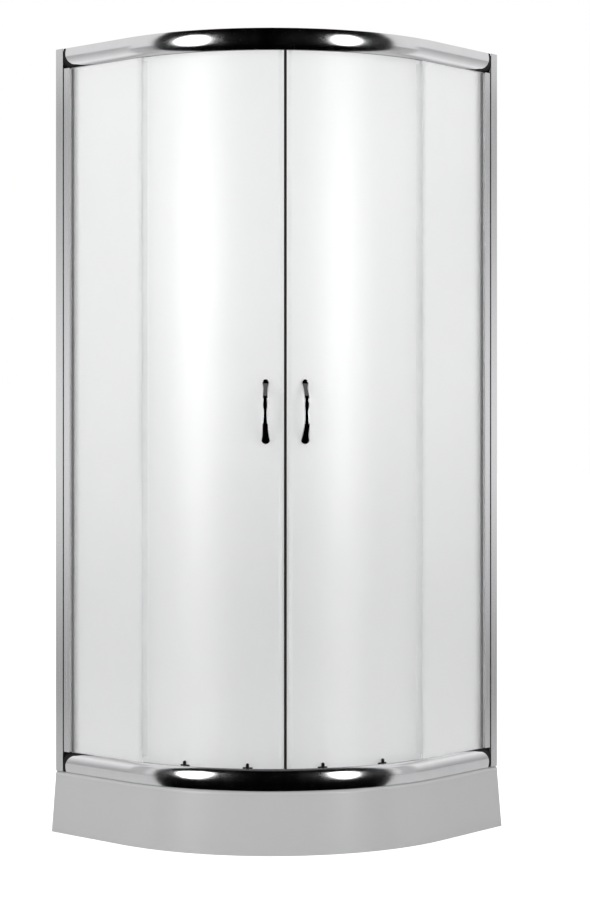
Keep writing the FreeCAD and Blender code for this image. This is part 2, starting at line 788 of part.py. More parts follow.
def rail_section(inset="0"):
    """The rail seen end on, from the rim up: outer belly, sloping lip, pane groove and roller track."""
    r = "rail_radius"
    return [
        (f"{r} - belly_bulge - {inset}", "0", (f"{r} - {inset}", "belly_height / 2")),
        (f"{r} - belly_bulge - {inset}", "belly_height"),
        (f"{r} - lip_setback - {inset}", "rail_height"),
        ("channel_outer", "rail_height"),
        ("channel_outer", "groove_floor"),
        ("channel_inner", "groove_floor"),
        ("channel_inner", "rail_height"),
        ("track_wall", "rail_height"),
        ("track_wall", "track_level"),
        ("track_inner", "track_level"),
        ("track_inner", "lip_end"),
        ("track_outer", "lip_end"),
        ("track_outer", "track_level - track_thickness"),
        ("track_wall", "track_level - track_thickness"),
        ("track_wall", "rail_wall"),
        (f"{r} - web_reach", "rail_wall"),
        (f"{r} - web_reach", "0"),
    ]


def rail_chamber():
    """The hollow behind the belly."""
    r = "rail_radius"
    top = "groove_floor - rail_wall"
    return [
        (f"{r} - belly_bulge - rail_wall", "rail_wall", (f"{r} - rail_wall", "belly_height / 2")),
        (f"{r} - belly_bulge - rail_wall", top), ("channel_inner", top), ("channel_inner", "rail_wall")]


def corner_loop(play="0"):
    """The rounded corner missing from the belly's end, as (distance along the rail, height)."""
    start = f"rail_end + {play}"
    rounded = (f"{start} - corner_run * (1 - cos(45 * 1 deg))",
               f"end_corner_start + corner_rise * sin(45 * 1 deg) + {play}")
    return [(start, "-overcut"), (start, "end_corner_start", rounded),
            ("profile_mouth - end_corner_length", f"end_corner_level + {play}"),
            ("profile_mouth - end_tail_length", "rail_height + overcut")]


def bottom_rail():
    """Bent aluminium extrusion, its belly's ends rounded where the end caps sit."""
    body = new_body("bottom_rail", "tray_height")
    section = outline(body, "XZ_Plane", rail_section(), rail_chamber(), offset="-rail_end")
    path = new_sketch(body, "XY_Plane")
    reach, radius = measure("rail_end"), measure("rail_radius")
    bend = FreeCAD.Vector(radius, 0, 0), FreeCAD.Vector(0, -radius, 0)
    across = measure("rail_radius * cos(45 * 1 deg)")
    middle = FreeCAD.Vector(across, -across, 0)
    path.addGeometry(Part.LineSegment(FreeCAD.Vector(radius, reach, 0), bend[0]), False)
    path.addGeometry(Part.Arc(bend[0], middle, bend[1]), False)
    path.addGeometry(Part.LineSegment(bend[1], FreeCAD.Vector(-reach, -radius, 0)), False)
    path.addConstraint(Sketcher.Constraint("Coincident", 0, 2, 1, 2))
    path.addConstraint(Sketcher.Constraint("Coincident", 1, 1, 2, 1))
    path.addConstraint(Sketcher.Constraint("Coincident", 1, 3, -1, 1))
    pin_down(path, 0, 1, "rail_radius", "rail_end")
    pin_down(path, 0, 2, "rail_radius", "0")
    pin_down(path, 2, 2, "-rail_end", "-rail_radius")
    index = path.addConstraint(Sketcher.Constraint("DistanceX", -1, 1, 2, 1, 0.0))
    path.setExpression(f"Constraints[{index}]", "0")
    pipe = body.newObject("PartDesign::AdditivePipe", "Bend")
    pipe.Profile = section
    pipe.Spine = (path, ["Edge1", "Edge2", "Edge3"])
    depth = "rail_radius - channel_outer + overcut"
    beyond = "profile_mouth + overcut"
    corner = corner_loop() + [(beyond, "rail_height + overcut"), (beyond, "-overcut")]
    pocket(body, outline(body, "YZ_Plane", corner, offset="rail_radius + overcut"), depth)
    pocket(body, outline(body, "XZ_Plane", mirror_loop(corner), offset="rail_radius + overcut"), depth)
    return body


def mirror_loop(loop):
    """The loop with its first coordinate reversed."""
    turned = []
    for corner in loop:
        point = (f"-({corner[0]})", corner[1])
        turned.append(point + ((f"-({corner[2][0]})", corner[2][1]),) if len(corner) == 3 else point)
    return turned


def rail_end_cap():
    """Black plastic cap at the rail's end: a flange against the wall profile and a rounded corner."""
    body = new_body("cap_bottom_right", "tray_height")
    r = "rail_radius - 2 * snug"
    section = [
        (f"{r} - belly_bulge", "snug", (r, "belly_height / 2")), (f"{r} - belly_bulge", "belly_height"),
        (f"{r} - lip_setback + snug", "rail_height"), ("channel_outer + snug", "rail_height"),
        ("channel_outer + snug", "snug")]
    pad(body, outline(body, "XZ_Plane", section, offset="-profile_mouth + snug"), "end_tail_length")
    short = "profile_mouth - end_tail_length - overcut"
    keep_out = corner_loop("snug") + [(short, "rail_height + overcut"), (short, "-overcut")]
    pocket(body, outline(body, "YZ_Plane", keep_out, offset="rail_radius + overcut"), "web_reach")
    return body


def fixed_pane():
    body = new_body("fixed_glass_right", "tray_height + rail_height - pane_grip")
    end = "post_front + pane_side_grip"
    plan = hooked_band("pane_inner", "pane_outer", end, front("pane_edge_angle"))
    pad(body, outline(body, "XY_Plane", plan),
        "frame_height - 2 * rail_height + 2 * pane_grip")
    return body


def pane_gasket():
    """Channel seal round the pane's edge in the post, with a bead on each face."""
    body = new_body("glass_gasket_right", "tray_height + rail_height + gap")
    outer, inner = "pane_outer + snug", "pane_inner - snug"
    deep = "post_front + pane_side_grip + snug"
    bead = "post_front - gasket_bead"
    lip = "post_front - snug"
    leg = "seal_wall - snug / 2"
    pad(body, outline(body, "XY_Plane", [
        (outer, bead), (f"{outer} + gasket_proud / 2", bead), (f"{outer} + gasket_proud", lip),
        (f"{outer} + {leg}", lip), (f"{outer} + {leg}", f"{deep} + seal_wall"),
        (f"{inner} - ({leg})", f"{deep} + seal_wall"), (f"{inner} - ({leg})", lip),
        (f"{inner} - gasket_proud", lip), (f"{inner} - gasket_proud / 2", bead), (inner, bead),
        (inner, deep), (outer, deep)]), "frame_height - 2 * rail_height - 2 * gap")
    return body


def pane_edge_seal():
    """Clear clip on the pane's free edge, with a fin that reaches in to the door."""
    foot = "button_top + button_gap"
    body = turned_body("fixed_edge_seal_right", front("pane_edge_angle"), f"tray_height + {foot}")
    outer, inner = "pane_outer + snug", "pane_inner - snug"
    wall, tip, fin = "seal_wall", "-seal_wall - snug", "door_outer + 2 * gap"
    pad(body, outline(body, "XY_Plane", [
        (f"{outer} + {wall}", tip), (f"{outer} + {wall}", "seal_grip"), (outer, "seal_grip"),
        (outer, "-snug"), (inner, "-snug"), (inner, "seal_grip"), (f"{inner} - {wall}", "seal_grip"),
        (f"{inner} - {wall}", "-snug"), (fin, "-snug"), (fin, tip)]),
        f"frame_height - rail_height - ({foot}) - door_head_gap")
    return body


def frame_screw(label, x, y, z, turn):
    """Pan-head self-tapping screw along its own -Z, head up, then turned and placed."""
    body = doc.addObject("PartDesign::Body", "Body_" + label)
    body.Label = label
    revolve(body, outline(body, "XZ_Plane", [
        ("0", "-screw_length"), ("screw_radius - snug", "-screw_length"), ("screw_radius - snug", "0"),
        ("screw_head_radius", "0"), ("screw_head_radius", "screw_head_height"), ("0", "screw_head_height")]))
    body.Placement = FreeCAD.Placement(FreeCAD.Vector(), turn)
    for axis, value in (("x", x), ("y", y), ("z", z)):
        bind(body, f"Placement.Base.{axis}", value)
    return body


def door_stop():
    """Rubber block in the track, where the rear wheel ends its travel."""
    angle = front("roller_rear_angle + door_travel")
    body = new_body("stop_bottom_right", "tray_height + track_level - track_thickness")
    start = polar("wheel_outer - wheel_width / 2", angle)[1]
    pad(body, outline(body, "XY_Plane", box_loop("track_outer + snug", "track_wall - snug",
                                                 f"{start} + wheel_radius + stop_gap",
                                                 f"{start} + wheel_radius + stop_gap + stop_length")),
        "stop_height", reverse=True)
    return body


# ---------------------------------------------------------------- doors

def door_pane():
    body = new_body("door_glass_right", "door_foot")
    start = front("asin(door_front_gap / door_outer) / 1 deg")
    finish = front("door_rear_angle")
    pad(body, outline(body, "XY_Plane", arc_band("door_inner", "door_outer", start, finish)),
        "door_head - door_foot")
    for place in ("front", "rear"):
        for height in ("wheel_level + tray_height", "frame_top - wheel_level"):
            drill(body, front(f"roller_{place}_angle"), f"{height} - door_foot", "glass_hole_radius")
    for sign in ("-", "+"):
        drill(body, front("handle_angle"), f"handle_middle {sign} handle_screw - door_foot", "handle_hole")
    return body


def drill(body, angle, height, radius):
    """A radial hole through the door's pane."""
    tool = body.newObject("PartDesign::SubtractiveCylinder", "Hole")
    tool.AttachmentSupport = [(origin_plane(body, "XY_Plane"), "")]
    tool.MapMode = "FlatFace"
    x, y = polar("door_inner - glass", angle)
    tool.AttachmentOffset = FreeCAD.Placement(
        FreeCAD.Vector(), FreeCAD.Rotation(measure(angle), 90, 0))
    bind(tool, "AttachmentOffset.Base.x", x)
    bind(tool, "AttachmentOffset.Base.y", y)
    bind(tool, "AttachmentOffset.Base.z", height)
    bind(tool, "Radius", radius)
    bind(tool, "Height", "3 * glass")


def magnet_seal():
    """Clear profile clipped on the door's front edge, with a pocket for the magnet."""
    body = turned_body("magnet_seal_right", front("0"), "door_foot + gap")
    outer, inner = "door_outer + snug", "door_inner - seal_drop - snug"
    middle = "door_outer - glass / 2"
    root = "magnet_thickness + snug"
    neck = "door_front_gap - seal_wall - snug"
    pad(body, outline(body, "XY_Plane", [
        (f"{middle} + magnet_pocket / 2", root), (f"{middle} + magnet_pocket / 2", neck),
        (f"{outer} + seal_wall", neck), (f"{outer} + seal_wall", "seal_front"), (outer, "seal_front"),
        (outer, f"{neck} + seal_wall"), (inner, f"{neck} + seal_wall"), (inner, "seal_front"),
        (f"{inner} - seal_wall", "seal_front"), (f"{inner} - seal_wall", neck),
        (f"{middle} - magnet_pocket / 2", neck), (f"{middle} - magnet_pocket / 2", root)]),
        "door_head - door_foot - 2 * gap")
    return body


def magnet_bar():
    """Black magnetic bar along the meeting edge."""
    body = turned_body("magnet_bar_right", front("0"), "door_foot + gap")
    middle = "door_outer - glass / 2"
    half = "magnet_width / 2"
    plan = box_loop(f"{middle} - {half}", f"{middle} + {half}", "snug", "magnet_thickness + snug")
    pad(body, outline(body, "XY_Plane", plan), "door_head - door_foot - 2 * gap")
    return body


def rear_seal():
    """Clear clip on the door's rear edge, with a fin towards the fixed pane."""
    body = turned_body("rear_seal_right", front("door_rear_angle"), "door_foot + gap")
    outer, inner, wall = "door_outer + snug", "door_inner - snug", "seal_wall"
    fin = "track_inner - gap"
    pad(body, outline(body, "XY_Plane", [
        (inner, "-seal_grip"), (inner, "snug"), (outer, "snug"), (outer, "-seal_grip"),
        (f"{outer} + {wall}", "-seal_grip"), (f"{outer} + {wall}", "snug"),
        (fin, "snug"), (fin, f"snug + {wall}"),
        (f"{inner} - {wall}", f"snug + {wall}"), (f"{inner} - {wall}", "-seal_grip")]),
        "door_head - door_foot - 2 * gap")
    return body


def drip_seal():
    """Seal under the door's foot, with a fin just clear of the tray's rim."""
    body = new_body("drip_seal_right")
    outer, inner, wall = "door_outer + snug", "door_inner - snug", "seal_wall"
    low, high = "door_foot - snug - seal_wall", "door_foot + seal_grip"
    tip = "tray_height + drip_gap"
    section = outline(body, "XZ_Plane", [
        (f"{outer} + {wall}", low), (f"{outer} + {wall}", high), (outer, high), (outer, "door_foot - snug"),
        (inner, "door_foot - snug"), (inner, high), (f"{inner} - {wall}", high), (f"{inner} - {wall}", low),
        (f"{inner} - {wall} / 2", low), (f"{inner} - {wall} - drip_reach", tip),
        (f"{inner} - drip_reach", tip), (f"{inner} + {wall}", low)])
    revolve(body, section, angle="drip_rear_angle - drip_front_angle")
    body.Placement = FreeCAD.Placement(FreeCAD.Vector(), FreeCAD.Rotation(FreeCAD.Vector(0, 0, 1), 1))
    bind(body, "Placement.Base.x", "-hub")
    bind(body, "Placement.Base.y", "hub")
    bind(body, "Placement.Rotation.Angle", front("drip_front_angle"))
    return body


def handle_piece():
    """Bow handle: its side view and its front view are extruded and crossed; the lower end is the wider."""
    half, tip = "handle_length / 2", "handle_standoff"
    inner_tip = "handle_standoff - handle_thickness"
    foot = "handle_foot"
    side_view = doc.addObject("PartDesign::Body", "Body_handle_side")
    low_end, low_knee = ("handle_foot_thickness", f"-{half} - overcut"), (tip, "-handle_knee")
    high_end, high_knee = ("handle_foot_thickness", f"{half} + overcut"), (tip, "handle_knee")
    low_foot, low_bend = ("gap", f"-{half} + {foot}"), (inner_tip, "-handle_knee + handle_bend_step")
    high_foot, high_bend = ("gap", f"{half} - {foot}"), (inner_tip, "handle_knee - handle_bend_step")
    pad(side_view, outline(side_view, "XZ_Plane", [
        ("gap", f"-{half} - overcut"),
        low_end + (bulge(low_end, low_knee, "handle_arm_bulge"),),
        low_knee + (bulge(low_knee, high_knee, "-handle_dip"),),
        high_knee + (bulge(high_knee, high_end, "handle_arm_bulge"),),
        high_end, ("gap", f"{half} + overcut"),
        high_foot + (bulge(high_foot, high_bend, "-handle_arm_bulge / 2"),),
        high_bend + (bulge(high_bend, low_bend, "handle_dip"),),
        low_bend + (bulge(low_bend, low_foot, "-handle_arm_bulge / 2"),),
        low_foot], offset="-handle_low_width"), "2 * handle_low_width")
    front_view = doc.addObject("PartDesign::Body", "Body_handle_front")
    low, high, waist = "handle_low_width / 2", "handle_high_width / 2", "handle_waist / 2"
    bottom, top = f"-{half} + {low} * handle_end_share", f"{half} - {high} * handle_end_share"
    pad(front_view, outline(front_view, "YZ_Plane", [
        (low, bottom, (waist, "0")), (high, top, ("0", half)), (f"-({high})", top, (f"-({waist})", "0")),
        (f"-({low})", bottom, ("0", f"-({half})"))], offset="-handle_standoff"), "3 * handle_standoff")
    crossed = doc.addObject("Part::Common", "Handle_crossed")
    crossed.Base = side_view
    crossed.Tool = front_view
    holes = [doc.addObject("Part::Cylinder", "Handle_hole") for _ in range(2)]
    for hole, sign in zip(holes, ("-", "")):
        bind(hole, "Radius", "screw_radius")
        bind(hole, "Height", "handle_foot_thickness")
        hole.Placement = FreeCAD.Placement(FreeCAD.Vector(), FreeCAD.Rotation(0, 90, 0))
        bind(hole, "Placement.Base.z", f"{sign}handle_screw")
    both = doc.addObject("Part::MultiFuse", "Handle_holes")
    both.Shapes = holes
    handle = doc.addObject("Part::Cut", "Handle_right")
    handle.Base = crossed
    handle.Tool = both
    handle.Label = "handle_right"
    place_outwards(handle, front("handle_angle"), "door_outer", "handle_middle")
    return handle


def place_outwards(thing, angle, radius, level):
    """Turns a piece drawn along +X outwards at an angle and sets it at a radius and height."""
    thing.Placement = FreeCAD.Placement(FreeCAD.Vector(), FreeCAD.Rotation(FreeCAD.Vector(0, 0, 1), 1))
    x, y = polar(radius, angle)
    bind(thing, "Placement.Base.x", f"-hub + {x}")
    bind(thing, "Placement.Base.y", f"hub + {y}")
    bind(thing, "Placement.Base.z", level)
    bind(thing, "Placement.Rotation.Angle", angle)


def round_piece(label, angle, radius, level, loop):
    """A piece turned about a radial axis; the loop is (distance outwards from radius, own radius)."""
    body = turned_body(label, angle, level, radius)
    revolve(body, outline(body, "XZ_Plane", loop), axis="X_Axis")
    return body


def handle_screw(sign):
    """Screw through the pane into the handle's foot, with its round cap inside the cabin."""
    back, tip = "-glass - snug", "handle_foot_thickness - handle_screw_play"
    label = "handle_screw_low" if sign == "-" else "handle_screw_high"
    return round_piece(label, front("handle_angle"), "door_outer", f"handle_middle {sign} handle_screw", [
        (f"{back} - handle_cap_height", "0"),
        (f"{back} - handle_cap_height", "handle_cap_radius * cap_taper"), (back, "handle_cap_radius"),
        (back, "screw_radius - snug"), (tip, "screw_radius - snug"), (tip, "0")])


def wheel(label, angle, level):
    """Grooved nylon wheel with a counterbore for the axle's head; drawn inwards from its outer face."""
    bore = "axle_radius + running_gap"
    head = "axle_head_radius + gap"
    recess = "axle_head + 2 * gap"
    rim, root, width, flange = "wheel_radius", "wheel_radius - wheel_groove", "wheel_width", "wheel_flange"
    return round_piece(label, angle, "wheel_outer", level, [
        ("0", head), ("0", rim), (f"-{flange}", root), (f"-{width} + {flange}", root), (f"-{width}", rim),
        (f"-{width}", bore), (f"-({recess})", bore), (f"-({recess})", head)])


def axle(label, angle, level, clamp):
    """Axle with its head in the wheel and a shoulder that clamps the pane's outer face."""
    head = "gap"
    shoulder = "wheel_width + gap"
    loop = [(f"-{head}", "0"), (f"-{head}", "axle_head_radius"), (f"-{head} - axle_head", "axle_head_radius"),
            (f"-{head} - axle_head", "axle_radius"), (f"-({shoulder})", "axle_radius")]
    if clamp:
        face = "door_setback - wheel_setback - snug"
        through = "door_setback - wheel_setback + glass + snug"
        loop += [(f"-({shoulder})", "clamp_radius * clamp_taper"), (f"-({face})", "clamp_radius"),
                 (f"-({face})", "glass_hole_radius - snug"), (f"-({through})", "glass_hole_radius - snug"),
                 (f"-({through})", "0")]
    return round_piece(label, angle, "wheel_outer", level, loop)


def roller_cap(label, angle, level):
    """Round cap that clamps the pane from inside the cabin."""
    face = "snug"
    return round_piece(label, angle, "door_inner", level, [
        (f"-{face}", "0"), (f"-{face}", "cap_radius"), (f"-{face} - cap_height", "cap_radius * cap_taper"),
        (f"-{face} - cap_height", "0")])


def carrier(label, angle):
    """Moulded carrier on the pane's outer face, with an upright channel for the plunger."""
    body = turned_body(label, angle, "tray_height", "door_outer")
    back = "door_setback - wheel_setback - wheel_width - gap"
    side, flank = "carrier_width / 2", "plunger_width / 2 + gap"
    deep = f"{back} - plunger_thickness - gap"
    pad(body, outline(body, "XY_Plane", [
        ("snug", f"-{side}"), (back, f"-{side} + carrier_bevel"), (back, f"-({flank})"),
        (deep, f"-({flank})"), (deep, flank), (back, flank), (back, f"{side} - carrier_bevel"),
        ("snug", side)],
        offset="carrier_bottom"), "carrier_top - carrier_bottom")
    boss = outline(body, "YZ_Plane", ("0", "wheel_level", "glass_hole_radius - snug"), offset="snug")
    pad(body, boss, "glass + 2 * snug", reverse=True)
    return body


def plunger(label, angle):
    """Sprung plunger: button above the rail, flat stem in the carrier and the wheel's axle."""
    body = turned_body(label, angle, "tray_height", "wheel_outer")
    face = "wheel_width + gap"
    half, stem = "plunger_width / 2", "button_width / 2"
    low, high = "carrier_bottom + carrier_bevel", "plunger_shoulder + plunger_slope"
    round_top = "button_top - button_width / 2"
    pad(body, outline(body, "YZ_Plane", [
        (f"-{half}", low), (half, low), (half, "plunger_shoulder"), (stem, high),
        (stem, round_top, ("0", "button_top")), (f"-{stem}", round_top), (f"-{stem}", high),
        (f"-{half}", "plunger_shoulder")], offset=f"-({face}) - plunger_thickness"), "plunger_thickness")
    pin = outline(body, "YZ_Plane", ("0", "wheel_level", "axle_radius"), offset=f"-({face})")
    pad(body, pin, f"{face} - gap")
    head = outline(body, "YZ_Plane", ("0", "wheel_level", "axle_head_radius"), offset="-gap - axle_head")
    pad(body, head, "axle_head")
    return body


# ---------------------------------------------------------------- assembly

def both_sides(name, source):
    """Keeps a right-hand piece and its left-hand twin under one name."""
    source.Label = name + "_right"
    keep(source, mirrored(name + "_left", source))


def build():
    keep(tray_shell(), support_board(), tray_frame())
    keep(group("foot_pads", [foot_part("foot_pad", place, foot_pad) for place in FEET]))
    keep(group("foot_studs", [foot_part("foot_stud", place, foot_stud) for place in FEET]))
    keep(group("foot_nuts", [foot_part("foot_nut", place, foot_nut) for place in FEET]))
    keep(*waste_pieces())

    both_sides("wall_profile", wall_profile())
    both_sides("frame_post", frame_post())
    low_rail = bottom_rail()
    keep(low_rail, flipped("top_rail", low_rail))
    cap_low = rail_end_cap()
    cap_high = flipped("cap_top_right", cap_low)
    keep(group("rail_end_caps_right", [cap_low, cap_high]))
    keep(group("rail_end_caps_left",
               [mirrored("cap_bottom_left", cap_low), mirrored("cap_top_left", cap_high)]))
    stop_low = door_stop()
    stop_high = flipped("stop_top_right", stop_low)
    keep(group("door_stops", [stop_low, stop_high, mirrored("stop_bottom_left", stop_low),
                              mirrored("stop_top_left", stop_high)]))
    both_sides("fixed_glass", fixed_pane())
    both_sides("glass_gasket", pane_gasket())
    both_sides("fixed_edge_seal", pane_edge_seal())
    screws = []
    for step in STEPS:
        right = frame_screw(f"post_screw_{step}", "-hub + rail_radius - wall_profile_depth",
                            "hub + profile_mouth + 2 * screw_head_radius",
                            f"tray_height + frame_height / 2 + {step} * post_screw_pitch",
                            FreeCAD.Rotation(FreeCAD.Vector(0, 1, 0), -90))
        screws += [right, mirrored(f"post_screw_left_{step}", right)]
    keep(group("frame_screws", screws))

    both_sides("door_glass", door_pane())
    both_sides("magnet_seal", magnet_seal())
    both_sides("magnet_bar", magnet_bar())
    both_sides("rear_seal", rear_seal())
    both_sides("drip_seal", drip_seal())
    both_sides("handle", handle_piece())
    caps, axles, carriers = [handle_screw("-"), handle_screw("+")], [], []
    both_sides("handle_screws", group("handle_screws", caps))
    caps = []
    for place in ("front", "rear"):
        angle = front(f"roller_{place}_angle")
        high, low = "frame_top - wheel_level", "tray_height + wheel_level"
        axles.append(axle(f"top_axle_{place}", angle, high, clamp=True))
        caps += [roller_cap(f"cap_high_{place}", angle, high), roller_cap(f"cap_low_{place}", angle, low)]
        carriers.append(carrier(f"carrier_{place}", angle))
        both_sides(f"top_wheel_{place}", wheel(f"top_wheel_{place}", angle, high))
        both_sides(f"bottom_wheel_{place}", wheel(f"bottom_wheel_{place}", angle, low))
        both_sides(f"release_plunger_{place}", plunger(f"release_plunger_{place}", angle))
    both_sides("top_roller_axles", group("top_roller_axles", axles))
    both_sides("roller_caps", group("roller_caps", caps))
    both_sides("bottom_roller_carriers", group("bottom_roller_carriers", carriers))


def write_out():
    """Checks every object and writes each kept piece to its own file."""
    doc.recompute()
    bad = [item.Label for item in doc.Objects if "Invalid" in item.State or "Error" in item.State]
    for piece in PIECES:
        if piece.Shape.isNull() or not piece.Shape.isValid() or not piece.Shape.Solids:
            bad.append(piece.Label)
    if bad:
        raise RuntimeError("failed: " + ", ".join(sorted(set(bad))))
    os.makedirs("parts", exist_ok=True)
    for piece in PIECES:
        piece.Shape.exportStep(f"parts/{piece.Label}.step")


build()
write_out()
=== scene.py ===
"""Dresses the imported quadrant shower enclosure: finishes for every piece, and finer surfaces for the
tray, the curved rails and their caps, the panes, gaskets, magnets and handles. Lengths are in metres.
The room corner is at -X +Y and the round front faces +X -Y."""

import json
import math

import bpy
import numpy as np
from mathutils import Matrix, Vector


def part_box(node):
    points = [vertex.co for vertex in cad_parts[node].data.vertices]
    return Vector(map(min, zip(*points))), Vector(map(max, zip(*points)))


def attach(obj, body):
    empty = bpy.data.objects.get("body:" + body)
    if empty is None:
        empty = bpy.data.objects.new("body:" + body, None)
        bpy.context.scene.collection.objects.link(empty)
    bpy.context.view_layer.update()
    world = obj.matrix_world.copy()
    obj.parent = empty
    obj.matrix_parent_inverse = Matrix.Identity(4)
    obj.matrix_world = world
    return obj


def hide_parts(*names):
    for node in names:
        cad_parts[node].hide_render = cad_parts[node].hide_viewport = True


bl_info = {
    "name": "Quadrant shower enclosure",
    "version": (1, 0, 0),
    "blender": (4, 5, 0),
    "location": "View3D > Sidebar > Shower",
    "description": "Builds the visible surfaces, finishes and stage of a quadrant shower enclosure",
    "category": "Add Mesh",
}

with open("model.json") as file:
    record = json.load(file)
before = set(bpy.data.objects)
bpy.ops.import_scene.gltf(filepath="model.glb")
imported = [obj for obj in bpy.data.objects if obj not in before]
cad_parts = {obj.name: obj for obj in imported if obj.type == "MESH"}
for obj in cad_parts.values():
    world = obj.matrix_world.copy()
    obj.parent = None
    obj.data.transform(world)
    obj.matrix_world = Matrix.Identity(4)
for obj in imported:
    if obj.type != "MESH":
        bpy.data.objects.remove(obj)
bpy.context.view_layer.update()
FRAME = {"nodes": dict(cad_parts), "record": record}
MM = 0.001
QUARTER = math.pi / 2

# Light passes through the pieces of these slots, so they cast no shadow.
CLEAR_SLOTS = ("satin_glass", "clear_seal")

# Materials by slot name, filled by the first operator.
FINISHES = {}

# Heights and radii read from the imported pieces. The round front is drawn about the hub, whose
# distance from the middle of the tray's square is the same along both axes.
RIM_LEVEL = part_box("tray_shell")[1].z
HALF_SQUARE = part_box("tray_shell")[1].x
TRAY_RADIUS = 0.550
HUB = np.array((HALF_SQUARE - TRAY_RADIUS, TRAY_RADIUS - HALF_SQUARE))
WALL = HALF_SQUARE * 2 - TRAY_RADIUS
RAIL_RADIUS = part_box("bottom_rail")[1].x - HUB[0]
RAIL_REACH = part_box("bottom_rail")[1].y - HUB[1]
FRAME_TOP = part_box("top_rail")[1].z

# Depths behind the rail's outer face, the glass's thickness and the rail's height.
PANE_INSET = 11.5 * MM
DOOR_INSET = 32 * MM
GLASS = 5 * MM
RAIL_HEIGHT = 50 * MM

# The camera fitted to the photograph: place, turn about the upright axis, and lens in pixels of it.
CAMERA_PLACE = (3.5145, -3.9466, 1.0197)
CAMERA_TURN = 0.719597
FRAME_LONG_SIDE = 910
FOCAL_PIXELS = 2105.5
HORIZON_ABOVE_MIDDLE = 32.7


# ---------------------------------------------------------------- settings

class TraySettings(bpy.types.PropertyGroup):
    """Sizes and colour of the tray."""
    rim_front: bpy.props.FloatProperty(name="Front rim", description="Width of the rim at the front",
                                       default=0.062, unit="LENGTH")
    rim_wall: bpy.props.FloatProperty(name="Wall rim", description="Width of the rim along the walls",
                                      default=0.045, unit="LENGTH")
    draft: bpy.props.FloatProperty(name="Draft", description="How far the basin's wall leans in",
                                   default=0.010, unit="LENGTH")
    corner: bpy.props.FloatProperty(name="Corner", description="Radius of the basin's corners",
                                    default=0.055, unit="LENGTH")
    basin: bpy.props.FloatProperty(name="Basin", description="Depth of the basin below the rim",
                                   default=0.050, unit="LENGTH")
    colour: bpy.props.FloatVectorProperty(name="Acrylic", description="Colour of the acrylic", size=3,
                                          default=(0.70, 0.70, 0.70), subtype="COLOR")


class FrameSettings(bpy.types.PropertyGroup):
    """Finish of the rails, wall profiles and posts."""
    chrome: bpy.props.FloatVectorProperty(name="Chrome", description="Colour of the polished plating",
                                          size=3, default=(0.66, 0.66, 0.67), subtype="COLOR")
    aluminium: bpy.props.FloatVectorProperty(name="Aluminium", description="Colour of the anodised uprights",
                                             size=3, default=(0.62, 0.62, 0.63), subtype="COLOR")


class StageSettings(bpy.types.PropertyGroup):
    """Light on the enclosure and what its chrome mirrors."""
    fill: bpy.props.FloatProperty(name="Fill", description="Light from all round on the enclosure",
                                  default=0.35, min=0.0)
    key: bpy.props.FloatProperty(name="Tall lights", description="Brightness of the two tall soft lights",
                                 default=3.4, min=0.0)
    top: bpy.props.FloatProperty(name="Top light", description="Brightness of the soft light overhead",
                                 default=2.2, min=0.0)


class PaneSettings(bpy.types.PropertyGroup):
    """The satin panes."""
    colour: bpy.props.FloatVectorProperty(name="Glass", description="Tint of the satin glass", size=3,
                                          default=(0.95, 0.955, 0.955), subtype="COLOR")
    satin: bpy.props.FloatProperty(name="Satin", description="Roughness of the etched side", default=0.5,
                                   min=0.0, max=1.0, subtype="FACTOR")
    edge: bpy.props.FloatProperty(name="Ground edge", description="Radius of the panes' ground edges",
                                  default=0.0008, unit="LENGTH")


class HandleSettings(bpy.types.PropertyGroup):
    """Shape of the bow handles."""
    waist: bpy.props.FloatProperty(name="Waist", description="Width of the bow at its middle",
                                   default=0.0102, unit="LENGTH")
    low_width: bpy.props.FloatProperty(name="Lower end", description="Width of the lower end",
                                       default=0.0215, unit="LENGTH")
    high_width: bpy.props.FloatProperty(name="Upper end", description="Width of the upper end",
                                        default=0.0172, unit="LENGTH")
    standoff: bpy.props.FloatProperty(name="Stand-off", description="From the pane to the bow's outer face",
                                      default=0.036, unit="LENGTH")
    knee: bpy.props.FloatProperty(name="Knee", description="Height of the bow's knees above its middle",
                                  default=0.029, unit="LENGTH")


# ---------------------------------------------------------------- surfaces

def mesh_piece(name, points, faces, body, slot, sharp=32):
    """A mesh object on a body with the finish of a slot, smooth except across corners sharper than an
    angle in degrees."""
    mesh = bpy.data.meshes.new(name)
    mesh.from_pydata(points.reshape(-1, 3).tolist(), [], faces)
    mesh.validate()
    mesh.shade_smooth()
    mesh.set_sharp_from_angle(angle=math.radians(sharp))
    mesh.materials.append(FINISHES[slot])
    piece = bpy.data.objects.new(name, mesh)
    bpy.context.scene.collection.objects.link(piece)
    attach(piece, body)
    piece.visible_shadow = slot not in CLEAR_SLOTS
    return piece


def grid_faces(rows, columns, wrap_rows=False, wrap_columns=False):
    """Quads between the neighbours of a grid of rows by columns of points, closed round where it wraps."""
    i = np.arange(rows if wrap_rows else rows - 1)
    j = np.arange(columns if wrap_columns else columns - 1)
    i, j = (a.ravel() for a in np.meshgrid(i, j, indexing="ij"))
    here, down = i * columns, (i + 1) % rows * columns
    right = (j + 1) % columns
    return np.stack([here + j, down + j, down + right, here + right], axis=1)


def outward(points, faces):
    """The faces, turned over if the closed surface they make has a negative volume."""
    flat = points.reshape(-1, 3)
    volume = 0.0
    for face in faces:
        a = flat[face[0]]
        for k in range(1, len(face) - 1):
            volume += np.dot(a, np.cross(flat[face[k]], flat[face[k + 1]]))
    return [tuple(reversed(face)) for face in faces] if volume < 0 else [tuple(face) for face in faces]


def along(start, finish, count):
    """Evenly spaced values, the last one left out so that stretches can be joined."""
    return np.linspace(start, finish, count, endpoint=False)


